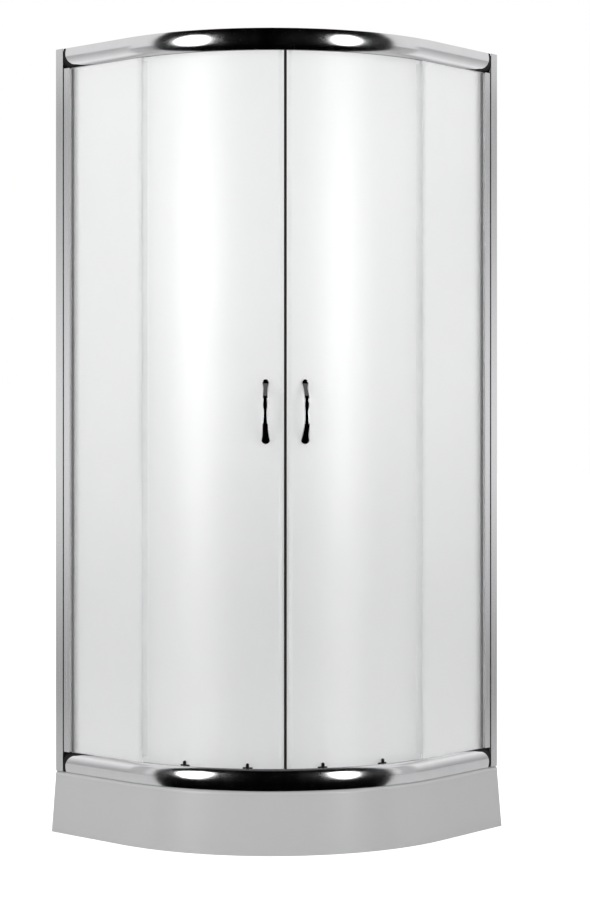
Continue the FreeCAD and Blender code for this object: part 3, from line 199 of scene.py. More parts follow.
def front_path(near, far, straight=12, curve=96):
    """Stations along the front, from an end on the right to an end on the left. Each end is a pair of
    kind and value: ("reach", metres past the arc) or ("angle", degrees from the middle of the front).
    A station has the outward direction (cos a, sin a) and a slide along the tangent, which is nothing
    on the arc and grows on the straight stretches past it."""
    turn, slide = [], []
    if near[0] == "reach":
        slide += list(along(near[1], 0.0, straight))
        turn += [0.0] * straight
        first = 0.0
    else:
        first = math.radians(near[1] - 45)
    last = -QUARTER if far[0] == "reach" else math.radians(far[1] - 45)
    turn += list(np.linspace(first, last, curve))
    slide += [0.0] * curve
    if far[0] == "reach":
        slide += list(-np.linspace(0.0, far[1], straight + 1)[1:])
        turn += [-QUARTER] * straight
    return np.array(turn), np.array(slide)


def swept(path, radius, height, slides=None):
    """A profile of (radius, height) points carried along the front: a point lies at the hub plus its
    radius times the station's outward direction plus the station's slide along the tangent."""
    turn, slide = path
    slide = slide[:, None] if slides is None else slides
    out = np.stack([np.cos(turn), np.sin(turn)], axis=1)[:, None, :]
    tangent = np.stack([-np.sin(turn), np.cos(turn)], axis=1)[:, None, :]
    plan = HUB + radius[None, :, None] * out + slide[..., None] * tangent
    level = np.broadcast_to(height, plan.shape[:2])
    return np.concatenate([plan, level[..., None]], axis=2)


def closed_sweep(points, sheet=False):
    """Faces of a swept closed profile with both its ends filled. A sheet's profile runs out along one
    side and back along the other, so its ends are filled by quads between the two sides."""
    rows, columns = points.shape[:2]
    faces = grid_faces(rows, columns, wrap_columns=True).tolist()
    last = (rows - 1) * columns
    if sheet:
        i = np.arange(columns // 2 - 1)
        ends = np.stack([i, i + 1, columns - 2 - i, columns - 1 - i], axis=1)
        faces += ends.tolist() + (ends[:, ::-1] + last).tolist()
    else:
        faces.append(list(range(columns)))
        faces.append(list(reversed(range(last, last + columns))))
    return outward(points, faces)


def rounded_box(low, high, foot, head, edge, steps=3):
    """An upright rectangle of (radius, height) points with its corners rounded by quarter circles."""
    turn = np.linspace(0, QUARTER, steps + 1)
    centres = ((high - edge, foot + edge), (high - edge, head - edge),
               (low + edge, head - edge), (low + edge, foot + edge))
    radius, height = [], []
    for corner, (centre_r, centre_z) in enumerate(centres, start=-1):
        radius.append(centre_r + edge * np.cos(turn + corner * QUARTER))
        height.append(centre_z + edge * np.sin(turn + corner * QUARTER))
    return np.concatenate(radius), np.concatenate(height)


def both_sides(right):
    """Points of a right-hand piece, and the same reflected in the upright plane through the room corner,
    which swaps x and y about the hub and turns them round."""
    left = right.copy()
    left[..., 0] = HUB[0] - (right[..., 1] - HUB[1])
    left[..., 1] = HUB[1] - (right[..., 0] - HUB[0])
    return ("right", right), ("left", left)


# ---------------------------------------------------------------- finishes

class Finish:
    """A material under construction, its pattern fixed to the object's own coordinates."""

    def __init__(self, name, colour, roughness, metallic=0.0, **sockets):
        self.material = bpy.data.materials.new(name)
        self.material.use_nodes = True
        self.nodes = self.material.node_tree.nodes
        self.links = self.material.node_tree.links
        self.shader = self.nodes["Principled BSDF"]
        self.shader.inputs["Base Color"].default_value = (*colour, 1.0)
        self.shader.inputs["Roughness"].default_value = roughness
        self.shader.inputs["Metallic"].default_value = metallic
        for socket, value in sockets.items():
            self.shader.inputs[socket.replace("_", " ")].default_value = value
        place = self.nodes.new("ShaderNodeTexCoord")
        self.place = place.outputs["Object"]

    def stretched(self, x, y, z):
        """Object coordinates scaled along each axis."""
        mapping = self.nodes.new("ShaderNodeMapping")
        mapping.inputs["Scale"].default_value = (x, y, z)
        self.links.new(self.place, mapping.inputs["Vector"])
        return mapping.outputs["Vector"]

    def noise(self, scale, detail=3.0, vector=None, roughness=0.5):
        """A cloudy value from 0 to 1; a larger scale gives finer clouds."""
        noise = self.nodes.new("ShaderNodeTexNoise")
        noise.inputs["Scale"].default_value = scale
        noise.inputs["Detail"].default_value = detail
        noise.inputs["Roughness"].default_value = roughness
        self.links.new(vector or self.place, noise.inputs["Vector"])
        return noise.outputs["Fac"]

    def spread(self, value, low, high, start=0.3, end=0.7):
        """The value's middle range mapped onto two limits."""
        span = self.nodes.new("ShaderNodeMapRange")
        span.inputs["From Min"].default_value = start
        span.inputs["From Max"].default_value = end
        span.inputs["To Min"].default_value = low
        span.inputs["To Max"].default_value = high
        self.links.new(value, span.inputs["Value"])
        return span.outputs["Result"]

    def vary_roughness(self, value, low, high):
        """Lets the value move the roughness between two limits."""
        self.links.new(self.spread(value, low, high), self.shader.inputs["Roughness"])

    def vary_colour(self, value, first, second):
        """Lets the value move the colour between two others."""
        ramp = self.nodes.new("ShaderNodeValToRGB")
        ramp.color_ramp.elements[0].position = 0.3
        ramp.color_ramp.elements[0].color = (*first, 1.0)
        ramp.color_ramp.elements[1].position = 0.7
        ramp.color_ramp.elements[1].color = (*second, 1.0)
        self.links.new(value, ramp.inputs["Fac"])
        self.links.new(ramp.outputs["Color"], self.shader.inputs["Base Color"])

    def bump(self, value, strength, distance):
        """Lets the value raise the surface by up to a distance."""
        bump = self.nodes.new("ShaderNodeBump")
        bump.inputs["Strength"].default_value = strength
        bump.inputs["Distance"].default_value = distance
        self.links.new(value, bump.inputs["Height"])
        self.links.new(bump.outputs["Normal"], self.shader.inputs["Normal"])


def shade(colour, factor):
    """The colour made darker or lighter."""
    return tuple(channel * factor for channel in colour)


def acrylic_finish(name, colour):
    """Glossy sanitary acrylic: a slow waviness, fine dust-sized pitting and a faint change of tone."""
    finish = Finish(name, colour, 0.3, Coat_Weight=0.4, Coat_Roughness=0.22, IOR=1.49)
    finish.vary_colour(finish.noise(9.0, 2.0), shade(colour, 0.985), colour)
    finish.vary_roughness(finish.noise(30.0, 3.0), 0.28, 0.33)
    finish.bump(finish.noise(14.0, 2.0), 0.05, 0.002)
    return finish.material


def chrome_finish(name, colour, low=0.03, high=0.07):
    """Polished plating: a clear mirror with wiped haze and a very slight ripple."""
    finish = Finish(name, colour, low, metallic=1.0)
    finish.vary_colour(finish.noise(30.0, 4.0), shade(colour, 0.97), colour)
    finish.vary_roughness(finish.noise(24.0, 6.0, finish.stretched(1.0, 1.0, 0.35)), low, high)
    finish.bump(finish.noise(18.0, 2.0), 0.02, 0.001)
    return finish.material


def drawn_finish(name, colour):
    """Bright anodised aluminium with long upright drawing lines."""
    finish = Finish(name, colour, 0.22, metallic=1.0)
    lines = finish.noise(900.0, 4.0, finish.stretched(1.0, 1.0, 0.004), 0.65)
    finish.vary_roughness(lines, 0.16, 0.3)
    finish.vary_colour(lines, shade(colour, 0.9), colour)
    finish.bump(lines, 0.12, 0.0002)
    return finish.material


def satin_finish(name, colour, satin):
    """Etched glass: a frosted inner side behind a clear outer one, with a fine etched grain."""
    finish = Finish(name, colour, satin, Transmission_Weight=0.82, IOR=1.2, Coat_Weight=1.0,
                    Coat_Roughness=0.36, Coat_IOR=1.8)
    finish.vary_colour(finish.noise(2.5, 2.0), shade(colour, 0.985), colour)
    finish.vary_roughness(finish.noise(1500.0, 2.0), satin - 0.04, satin + 0.04)
    finish.bump(finish.noise(2500.0, 1.0), 0.04, 0.0001)
    return finish.material


def seal_finish(name, colour):
    """Clear flexible extrusion, milky next to satin glass, with a slow cloudiness along its length."""
    finish = Finish(name, colour, 0.4, Transmission_Weight=0.9, IOR=1.25)
    clouds = finish.noise(20.0, 3.0, finish.stretched(1.0, 1.0, 0.2))
    finish.vary_roughness(clouds, 0.34, 0.46)
    finish.vary_colour(clouds, shade(colour, 0.98), colour)
    finish.bump(finish.noise(90.0, 2.0, finish.stretched(1.0, 1.0, 0.05)), 0.03, 0.0002)
    return finish.material


def moulded_finish(name, colour, low=0.35, high=0.5, grain=900.0):
    """Moulded plastic with a fine spark-eroded grain and scattered shinier, rubbed places."""
    finish = Finish(name, colour, low, IOR=1.5, Specular_IOR_Level=0.2)
    finish.vary_roughness(finish.noise(45.0, 4.0), low, high)
    finish.vary_colour(finish.noise(80.0, 4.0), shade(colour, 0.85), colour)
    finish.bump(finish.noise(grain, 3.0), 0.15, 0.0002)
    return finish.material


def rubber_finish(name, colour):
    """Soft rubber: matt, with a powdery bloom."""
    finish = Finish(name, colour, 0.65, Sheen_Weight=0.25, Sheen_Roughness=0.5)
    finish.vary_colour(finish.noise(70.0, 5.0), colour, shade(colour, 1.35))
    finish.vary_roughness(finish.noise(120.0, 3.0), 0.55, 0.75)
    finish.bump(finish.noise(600.0, 3.0), 0.12, 0.0002)
    return finish.material


def powder_finish(name, colour):
    """Powder-coated steel: orange peel under a satin skin."""
    finish = Finish(name, colour, 0.45, Coat_Weight=0.2, Coat_Roughness=0.3)
    finish.vary_colour(finish.noise(12.0, 3.0), shade(colour, 0.93), colour)
    finish.vary_roughness(finish.noise(260.0, 2.0), 0.38, 0.52)
    finish.bump(finish.noise(420.0, 2.0), 0.35, 0.0003)
    return finish.material


def zinc_finish(name, colour):
    """Zinc-plated steel with a cloudy, faintly spangled face."""
    finish = Finish(name, colour, 0.35, metallic=1.0)
    spangle = finish.noise(190.0, 3.0)
    finish.vary_colour(spangle, shade(colour, 0.82), colour)
    finish.vary_roughness(finish.noise(240.0, 4.0), 0.26, 0.42)
    finish.bump(finish.noise(900.0, 3.0), 0.1, 0.0001)
    return finish.material


def plywood_finish(name, colour):
    """Sealed plywood: long grain along one wall, with darker streaks."""
    finish = Finish(name, colour, 0.5, Coat_Weight=0.15, Coat_Roughness=0.35)
    grain = finish.noise(38.0, 6.0, finish.stretched(0.12, 2.4, 2.4), 0.6)
    finish.vary_colour(grain, shade(colour, 0.66), colour)
    finish.vary_roughness(grain, 0.42, 0.6)
    finish.bump(grain, 0.2, 0.0004)
    return finish.material


def all_finishes(scene):
    """One finish for each material slot of the record, by slot name."""
    chrome, panes = tuple(scene.shower_frame.chrome), scene.shower_panes
    return {
        "acrylic": acrylic_finish("white_acrylic", tuple(scene.shower_tray.colour)),
        "board": plywood_finish("sealed_plywood", (0.52, 0.36, 0.21)),
        "frame_steel": powder_finish("grey_powder_coat", (0.20, 0.21, 0.22)),
        "zinc_steel": zinc_finish("zinc_plate", (0.55, 0.55, 0.53)),
        "black_plastic": moulded_finish("black_moulding", (0.005, 0.005, 0.005)),
        "white_plastic": moulded_finish("white_moulding", (0.78, 0.78, 0.76)),
        "grey_plastic": moulded_finish("grey_pipe", (0.36, 0.36, 0.37), 0.3, 0.42),
        "white_nylon": moulded_finish("turned_nylon", (0.80, 0.79, 0.75), 0.24, 0.38, 1500.0),
        "grey_rubber": rubber_finish("grey_rubber", (0.19, 0.19, 0.192)),
        "clear_seal": seal_finish("clear_seal", (0.94, 0.945, 0.945)),
        "black_magnet": rubber_finish("magnet_strip", (0.008, 0.008, 0.008)),
        "satin_glass": satin_finish("satin_glass", tuple(panes.colour), panes.satin),
        "rail_chrome": chrome_finish("rail_plating", chrome, 0.12, 0.17),
        "chrome": chrome_finish("fitting_plating", chrome, 0.02, 0.06),
        "bright_aluminium": drawn_finish("bright_aluminium", tuple(scene.shower_frame.aluminium)),
    }


# ---------------------------------------------------------------- operators

class SHOWER_OT_finishes(bpy.types.Operator):
    """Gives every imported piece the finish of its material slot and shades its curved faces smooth"""
    bl_idname = "shower.finishes"
    bl_label = "Finishes"

    def execute(self, context):
        FINISHES.update(all_finishes(context.scene))
        slots = {part["node"]: part["material_slot"] for part in FRAME["record"]["subparts"]}
        for node, piece in FRAME["nodes"].items():
            for holder in piece.material_slots:
                holder.material = FINISHES[slots[node]]
            piece.visible_shadow = slots[node] not in CLEAR_SLOTS
            weld = piece.modifiers.new("Join faces", "WELD")
            weld.merge_threshold = 0.01 * MM
            split = piece.modifiers.new("Crisp corners", "EDGE_SPLIT")
            split.split_angle = math.radians(25)
            piece.data.shade_smooth()
        return {"FINISHED"}


def quarter(count):
    """Sines and rises of a quarter circle, from nothing to one."""
    turn = np.linspace(0, QUARTER, count)
    return np.sin(turn), 1 - np.cos(turn)


def tray_loop(radius, wall, corner):
    """The tray's plan outline at each row, as quadrant loops about the hub. Each side runs straight
    between its corner arcs, and the front is an arc of the row's radius."""
    t = along(0, 1, 12)
    c = along(0, QUARTER, 10)
    f = along(0, QUARTER, 72)
    stretches = [
        (radius + 0 * t, (wall - corner) * t),
        (radius - corner * (1 - np.cos(c)), wall - corner * (1 - np.sin(c))),
        (radius - corner + (corner - wall - radius + corner) * t, wall + 0 * t),
        (-wall + corner * (1 - np.sin(c)), wall - corner * (1 - np.cos(c))),
        (-wall + 0 * t, wall - corner + (corner - radius - wall + corner) * t),
        (-wall + corner * (1 - np.cos(c)), -radius + corner * (1 - np.sin(c))),
        (-wall + corner + (wall - corner) * t, -radius + 0 * t),
        (radius * np.sin(f), -radius * np.cos(f)),
    ]
    return [np.concatenate(axis, axis=-1) for axis in zip(*stretches)]


def tray_row(front, wall, corner, level):
    """One of the tray's loops as points, at one level or at a level for each point."""
    x, y = tray_loop(*(np.array([[value]]) for value in (front, wall, corner)))
    return np.column_stack([x[0] + HUB[0], y[0] + HUB[1], np.full(x.shape[1], level)])


class SHOWER_OT_tray(bpy.types.Operator):
    """Makes the acrylic tray as one closed shell from the skirt over the rim to the drain and back"""
    bl_idname = "shower.tray"
    bl_label = "Tray"

    def execute(self, context):
        tray = context.scene.shower_tray
        thick, square = 5 * MM, 1 * MM
        flare, lip = 13 * MM, 45 * MM
        edge, shoulder, heel = 10 * MM, 6 * MM, 14 * MM
        rim_radius = TRAY_RADIUS - flare
        floor = RIM_LEVEL - tray.basin
        sine, rise = quarter(7)
        # Each row is (inset at the front, inset at the walls, corner radius, height).
        rows = []
        for s, z in zip(np.linspace(0, 1, 5), np.linspace(0, RIM_LEVEL - edge, 5)):
            rows.append((-flare * (1 - s) + flare * edge / RIM_LEVEL * s, 0.0, square, z))
        for s, r in zip(sine, rise):
            rows.append((edge * r, 0.3 * MM * r, square, RIM_LEVEL - edge * (1 - s)))
        skirt = len(rows)
        for s, r in zip(sine, rise):
            back = shoulder * (1 - s)
            rows.append((tray.rim_front - back, tray.rim_wall - back, tray.corner, RIM_LEVEL - shoulder * r))
        for r, s in zip(rise, sine):
            past = tray.draft + heel * r - 2 * MM
            rows.append((tray.rim_front + past, tray.rim_wall + past, tray.corner - tray.draft,
                         floor + heel * (1 - s)))
        rows = np.array(rows)[:, :, None]
        x, y = tray_loop(rim_radius - rows[:, 0], WALL - rows[:, 1], rows[:, 2])
        z = np.broadcast_to(rows[:, 3], x.shape).copy()
        # The wall sides stop at a lip, which leaves room for the outlet pipe below.
        low_side, near = RIM_LEVEL - lip, WALL - 2 * MM
        at_wall = (x[0] < -near) & (y[0] > -rim_radius) | (y[0] > near) & (x[0] < rim_radius)
        z[:skirt, at_wall] = np.maximum(z[:skirt, at_wall], low_side)
        shell = np.stack([x + HUB[0], y + HUB[1], z], axis=2)
        # The floor runs from the basin's foot to a ring round the drain, then falls to the waste's seat.
        foot = shell[-1]
        drain = HUB + np.array((-35 * MM, 35 * MM))
        away = foot[:, :2] - drain
        turn = np.arctan2(away[:, 1], away[:, 0])
        ring = np.stack([np.cos(turn), np.sin(turn)], axis=1)

        def circle(radius, level):
            return np.column_stack([drain + radius * ring, np.full(len(ring), level)])

        flat = circle(140 * MM, floor)
        floor_rows = [foot * (1 - share) + flat * share for share in np.linspace(0.12, 1, 8)]
        for radius, drop in ((110, 2.4), (70, 5.7), (58.5, 6), (58.3, 8.5), (45, 8.5), (45, 11)):
            floor_rows.append(circle(radius * MM, floor - drop * MM))
        top = np.concatenate([shell, np.array(floor_rows)])
        # The underside is the top moved down or in by the wall's thickness.
        low_floor, low_rim = RIM_LEVEL - 61 * MM, RIM_LEVEL - thick
        under = [circle(45 * MM, low_floor), circle(62 * MM, low_floor)]
        basin_wall = ((tray.draft + heel, low_floor), (tray.draft, low_floor + 6 * MM), (0.0, low_rim))
        for past, level in basin_wall:
            inset = past - thick
            under.append(tray_row(rim_radius - tray.rim_front - inset, WALL - tray.rim_wall - inset,
                                  tray.corner, level))
        under.append(tray_row(rim_radius - thick, WALL - thick, square, low_rim))
        under.append(tray_row(rim_radius - thick + flare, WALL - thick, square,
                              np.where(at_wall, low_side, 0.0)))
        points = np.concatenate([top, np.array(under)])
        faces = outward(points, grid_faces(*points.shape[:2], wrap_rows=True, wrap_columns=True).tolist())
        piece = mesh_piece("tray", points, faces, "root", "acrylic")
        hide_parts("tray_shell")
        return {"FINISHED"}


def rail_belly(inset=0.0):
    """The rail's outer face seen end on, as (radius, height above the rim): a shallow arc for the belly,
    then a lip that goes on from it and turns in, an arc whose slope grows from the belly's to the top's."""
    belly, bulge, lip, setback = 38 * MM, 3 * MM, 12 * MM, 10.1 * MM
    chord = belly / 2
    big = (chord ** 2 + bulge ** 2) / (2 * bulge)
    slope = math.asin(chord / big)
    turn = np.linspace(-slope, slope, 25)
    share = np.linspace(0, 1, 13)[1:]
    mean = math.atan((setback - bulge) / lip)
    lean = slope + 2 * (mean - slope) * share
    inward = np.cumsum(np.tan(lean))
    radius = np.concatenate([RAIL_RADIUS - big + big * np.cos(turn),
                             RAIL_RADIUS - bulge - (setback - bulge) * inward / inward[-1]])
    height = np.concatenate([belly / 2 + big * np.sin(turn), belly + lip * share])
    return radius - inset, height


def rail_channel():
    """The rest of the rail seen end on: straight walls round the pane's groove and the roller track."""
    wall, play, bevel = 1.8 * MM, 0.6 * MM, 0.4 * MM
    front, back = RAIL_RADIUS - 10.1 * MM, RAIL_RADIUS - 28 * MM
    groove_out = RAIL_RADIUS - PANE_INSET + play
    groove_in = groove_out - GLASS - 2 * play
    track = groove_in - wall
    hook_out, hook_in = RAIL_RADIUS - 23.5 * MM, RAIL_RADIUS - 25.1 * MM
    top, groove_floor = RAIL_HEIGHT, 36 * MM
    hook_top, shelf, hook_foot = 46 * MM, 44.4 * MM, 39.4 * MM
    corners = (
        (front, 0.0), (front, top),
        (groove_out + bevel, top), (groove_out, top - bevel), (groove_out, groove_floor),
        (groove_in, groove_floor), (groove_in, top - bevel), (groove_in - bevel, top),
        (track + bevel, top), (track, top - bevel), (track, hook_top),
        (hook_in, hook_top), (hook_in, hook_foot), (hook_out, hook_foot), (hook_out, shelf),
        (track, shelf), (track, wall), (back, wall), (back, 0.0),
    )
    return np.array(corners).T


def rail_trim(height):
    """How far the rail's outer face stops short of the rail's end, where the black cap shows: a quarter
    ellipse from 12 mm up to 43 mm, then a tail that thins out towards the top."""
    level = height / MM
    corner = 3 + 34 * (1 - np.sqrt(1 - np.clip((level - 12) / 31, 0, 1) ** 2))
    tail = np.interp(level, (43, 46.6, 49, 50), (37, 57, 93, 121))
    return np.where(level > 43, tail, corner) * MM


def rail_pair(points):
    """Points of the bottom rail, and the same turned over for the top one."""
    high = points.copy()
    high[..., 2] = RIM_LEVEL + FRAME_TOP - points[..., 2]
    return ("bottom", points), ("top", high)


class SHOWER_OT_rails(bpy.types.Operator):
    """Makes the two bent rails, with belly, pane groove and roller track, and their black end caps"""
    bl_idname = "shower.rails"
    bl_label = "Rails"

    def execute(self, context):
        turn, slide = front_path(("reach", RAIL_REACH), ("reach", RAIL_REACH), straight=16, curve=128)
        radius, height = (np.concatenate([out, back[::-1]])
                          for out, back in zip(rail_belly(), rail_belly(1.6 * MM)))
        share = np.clip(np.abs(slide) / RAIL_REACH, 0, 1)[:, None]
        slides = slide[:, None] - np.sign(slide)[:, None] * share * rail_trim(height)[None, :]
        face = swept((turn, slide), radius, RIM_LEVEL + height, slides)
        radius, height = rail_channel()
        channel = swept((turn, slide), radius, RIM_LEVEL + height)
        for (name, outer), (_, inner) in zip(rail_pair(face), rail_pair(channel)):
            for part, points, sheet in (("face", outer, True), ("channel", inner, False)):
                piece = mesh_piece(f"{name}_rail_{part}", points, closed_sweep(points, sheet), "root",
                                   "rail_chrome")
                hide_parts(f"{name}_rail")
        # A cap fills the belly's end, just behind the face, from the wall profile to past the tail.
        play = 0.3 * MM
        radius, height = rail_belly(0.5 * MM)
        height[-1] -= play
        radius = np.append(radius, [RAIL_RADIUS - 10.6 * MM] * 2)
        height = np.append(height, [RAIL_HEIGHT - play, 0.2 * MM])
        end = RAIL_REACH + 5.8 * MM
        path = (np.zeros(2), np.array([end, end - 158 * MM]))
        for name, right in rail_pair(swept(path, radius, RIM_LEVEL + height)):
            for side, points in both_sides(right):
                piece = mesh_piece(f"{name}_rail_cap_{side}", points, closed_sweep(points), "root",
                                   "black_plastic")
                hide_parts(f"rail_end_caps_{side}")
        return {"FINISHED"}


class SHOWER_OT_panes(bpy.types.Operator):
    """Makes the two fixed panes and the two curved door panes with ground edges"""
    bl_idname = "shower.panes"
    bl_label = "Panes"

    def execute(self, context):
        edge = context.scene.shower_panes.edge
        pane_outer, door_outer = RAIL_RADIUS - PANE_INSET, RAIL_RADIUS - DOOR_INSET
        start = math.degrees(math.asin(8 * MM / door_outer))
        fixed_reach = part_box("fixed_glass_right")[1].y - HUB[1]
        pieces = (
            ("door_glass", door_outer, front_path(("angle", 43), ("angle", start)), "{side}_door"),
            ("fixed_glass", pane_outer, front_path(("reach", fixed_reach), ("angle", 40.5)), "root"),
        )
        for name, outer, path, body in pieces:
            foot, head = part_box(name + "_right")[0].z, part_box(name + "_right")[1].z
            radius, height = rounded_box(outer - GLASS, outer, foot, head, edge)
            for side, points in both_sides(swept(path, radius, height)):
                piece = mesh_piece(f"{name}_{side}_satin", points, closed_sweep(points),
                                   body.format(side=side), "satin_glass")
                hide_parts(f"{name}_{side}")
        return {"FINISHED"}


class SHOWER_OT_gaskets(bpy.types.Operator):
    """Makes the glazing gaskets: a channel round the pane's edge, with a bead on each face of the pane"""
    bl_idname = "shower.gaskets"
    bl_label = "Gaskets"

    def execute(self, context):
        low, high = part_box("glass_gasket_right")
        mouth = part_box("frame_post_right")[0].y
        middle = HUB[0] + RAIL_RADIUS - PANE_INSET - GLASS / 2
        # Half of the section: distance from the pane's middle, and place along the pane.
        inner, neck, bead = 2.55 * MM, 3.6 * MM, 4.4 * MM
        half = [(inner, mouth - 2 * MM), (bead - 0.6 * MM, mouth - 2 * MM), (bead, mouth - 1.2 * MM),
                (bead, mouth), (neck, mouth), (neck, high.y)]
        outline = [(middle + a, y) for a, y in half] + [(middle - a, y) for a, y in reversed(half)]
        outline += [(middle - inner, high.y - 1 * MM), (middle + inner, high.y - 1 * MM)]
        right = np.array([[(x, y, z) for x, y in outline] for z in (low.z, high.z)])
        for side, points in both_sides(right):
            piece = mesh_piece(f"slim_gasket_{side}", points, closed_sweep(points), "root", "grey_rubber")
            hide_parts(f"glass_gasket_{side}")
        return {"FINISHED"}


class SHOWER_OT_magnets(bpy.types.Operator):
    """Makes the black magnet strips that show along the doors' meeting edges"""
    bl_idname = "shower.magnets"
    bl_label = "Magnets"

    def execute(self, context):
        middle = RAIL_RADIUS - DOOR_INSET - GLASS / 2
        half, angle = 4.7 * MM, -QUARTER / 2
        foot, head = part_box("magnet_bar_right")[0].z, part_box("magnet_bar_right")[1].z
        # A strip is a rounded box in plan, thin from the meeting plane inwards and wide along the radius.
        radius, aside = rounded_box(middle - half, middle + half, 0.2 * MM, 3.3 * MM, 0.5 * MM)
        x = HUB[0] + radius * math.cos(angle) - aside * math.sin(angle)
        y = HUB[1] + radius * math.sin(angle) + aside * math.cos(angle)
        levels = np.linspace(foot, head, 9)
        right = np.stack([np.column_stack([x, y, np.full(len(x), z)]) for z in levels])
        for side, points in both_sides(right):
            piece = mesh_piece(f"magnet_strip_{side}", points, closed_sweep(points), f"{side}_door",
                               "black_magnet")
            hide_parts(f"magnet_bar_{side}")
        return {"FINISHED"}


class SHOWER_OT_handles(bpy.types.Operator):
    """Makes the bow handles: a rounded section carried along a bow, narrowest in its middle"""
    bl_idname = "shower.handles"
    bl_label = "Handles"

    def execute(self, context):
        bow = context.scene.shower_handles
        low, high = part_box("handle_right")
        middle, half = (low.z + high.z) / 2, (high.z - low.z) / 2
        bow_thick, arm_thick, foot_thick = 4.2 * MM, 4.8 * MM, 4.4 * MM
        tip_length, sag, power = 10 * MM, 2.5 * MM, 4.4
        # Height runs from end to end as half times sin, so that rows crowd at the rounded tips.
        height = half * np.sin(np.linspace(-QUARTER, QUARTER, 81))
        away = np.abs(height)
        arm = np.clip((away - bow.knee) / (half - 8 * MM - bow.knee), 0, 1)
        ease = arm * arm * (3 - 2 * arm) * 0.55 + arm * 0.45
        dip = sag * np.cos(np.clip(away / bow.knee, 0, 1) * QUARTER) ** 2
        thick = np.interp(arm, [0, 0.5, 1], [bow_thick, arm_thick, foot_thick])
        centre = (bow.standoff - bow_thick) * (1 - ease) + foot_thick * ease - dip
        end_width = np.where(height < 0, bow.low_width, bow.high_width) / 2
        share = np.clip(away / (half - end_width * 0.8), 0, 1)
        width = bow.waist / 2 + (end_width - bow.waist / 2) * share ** 1.5
        tip = np.sqrt(np.clip(1 - np.clip((away - half + tip_length) / tip_length, 0, 1) ** 2, 0, 1))
        # The section is a superellipse: |x|^power + |y|^power = 1, stretched by its half sizes.
        around = np.linspace(0, 2 * math.pi, 56, endpoint=False)
        c, s = np.cos(around), np.sin(around)
        cx, cy = np.sign(c) * np.abs(c) ** (2 / power), np.sign(s) * np.abs(s) ** (2 / power)
        rise = np.gradient(centre, height, edge_order=1)
        norm = np.sqrt(1 + rise ** 2)
        out = centre[:, None] + (thick * (0.35 + 0.65 * tip) / norm)[:, None] * cx[None, :]
        out = np.maximum(out, 0.3 * MM)
        up = height[:, None] - (thick * rise / norm * tip)[:, None] * cx[None, :]
        up = np.clip(up, -half, half)
        side = (width * tip)[:, None] * cy[None, :]
        radius, angle = RAIL_RADIUS - DOOR_INSET + out, math.radians(5.3 - 45)
        x = HUB[0] + radius * math.cos(angle) - side * math.sin(angle)
        y = HUB[1] + radius * math.sin(angle) + side * math.cos(angle)
        for name, points in both_sides(np.stack([x, y, middle + up], axis=2)):
            piece = mesh_piece(f"handle_{name}_plated", points, closed_sweep(points), f"{name}_door",
                               "chrome", sharp=50)
            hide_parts(f"handle_{name}")
        return {"FINISHED"}


# ---------------------------------------------------------------- stage

def plain_finish(name, colour, strength=0.0, mirrored=0.0):
    """A matt stage colour, with light of its own: one strength for the camera and glass, one for metal."""
    material = bpy.data.materials.new(name)
    material.use_nodes = True
    nodes, links = material.node_tree.nodes, material.node_tree.links
    shader = nodes["Principled BSDF"]
    shader.inputs["Base Color"].default_value = (*colour, 1.0)
    shader.inputs["Roughness"].default_value = 0.9
    shader.inputs["Specular IOR Level"].default_value = 0.0
    if strength:
        shader.inputs["Emission Color"].default_value = (1.0, 1.0, 1.0, 1.0)
        glow = seen_directly(nodes, links, strength, mirrored, 0.0)
        links.new(glow, shader.inputs["Emission Strength"])
    return material


def seen_directly(nodes, links, seen, mirrored, otherwise):
    """One value for rays from the camera or through glass, one for rays off metal, and one for the light
    on the object."""
    path = nodes.new("ShaderNodeLightPath")
    direct = nodes.new("ShaderNodeMath")
    direct.operation = "MAXIMUM"
    links.new(path.outputs["Is Camera Ray"], direct.inputs[0])
    links.new(path.outputs["Is Transmission Ray"], direct.inputs[1])
    plain = nodes.new("ShaderNodeMapRange")
    plain.inputs["To Min"].default_value = otherwise
    plain.inputs["To Max"].default_value = seen
    links.new(direct.outputs[0], plain.inputs["Value"])
    glossy = nodes.new("ShaderNodeMapRange")
    glossy.inputs["To Max"].default_value = mirrored
    links.new(plain.outputs["Result"], glossy.inputs["To Min"])
    links.new(path.outputs["Is Glossy Ray"], glossy.inputs["Value"])
    return glossy.outputs["Result"]


def side_finish(name):
    """A cloth whose light changes with height: dim at the foot, full at half height, half at the head."""
    material = plain_finish(name, (0.01,) * 3)
    nodes, links = material.node_tree.nodes, material.node_tree.links
    place = nodes.new("ShaderNodeTexCoord")
    axes = nodes.new("ShaderNodeSeparateXYZ")
    links.new(place.outputs["Object"], axes.inputs["Vector"])
    share = nodes.new("ShaderNodeMapRange")
    share.inputs["From Max"].default_value = 2.2
    links.new(axes.outputs["Z"], share.inputs["Value"])
    ramp = nodes.new("ShaderNodeValToRGB")
    ramp.color_ramp.elements[0].color = (0.42, 0.42, 0.42, 1.0)
    ramp.color_ramp.elements[1].color = (0.5, 0.5, 0.5, 1.0)
    middle = ramp.color_ramp.elements.new(0.45)
    middle.color = (1.0, 1.0, 1.0, 1.0)
    ramp.color_ramp.interpolation = "EASE"
    links.new(share.outputs["Result"], ramp.inputs["Fac"])
    shader = nodes["Principled BSDF"]
    links.new(ramp.outputs["Color"], shader.inputs["Emission Color"])
    shader.inputs["Emission Strength"].default_value = 1.15
    return material


def stage_object(name, points, faces, material):
    """A mesh object of the stage, which isn't part of the enclosure."""
    mesh = bpy.data.meshes.new(name)
    mesh.from_pydata(points.reshape(-1, 3).tolist(), [], faces)
    mesh.materials.append(material)
    piece = bpy.data.objects.new(name, mesh)
    bpy.context.scene.collection.objects.link(piece)
    return piece


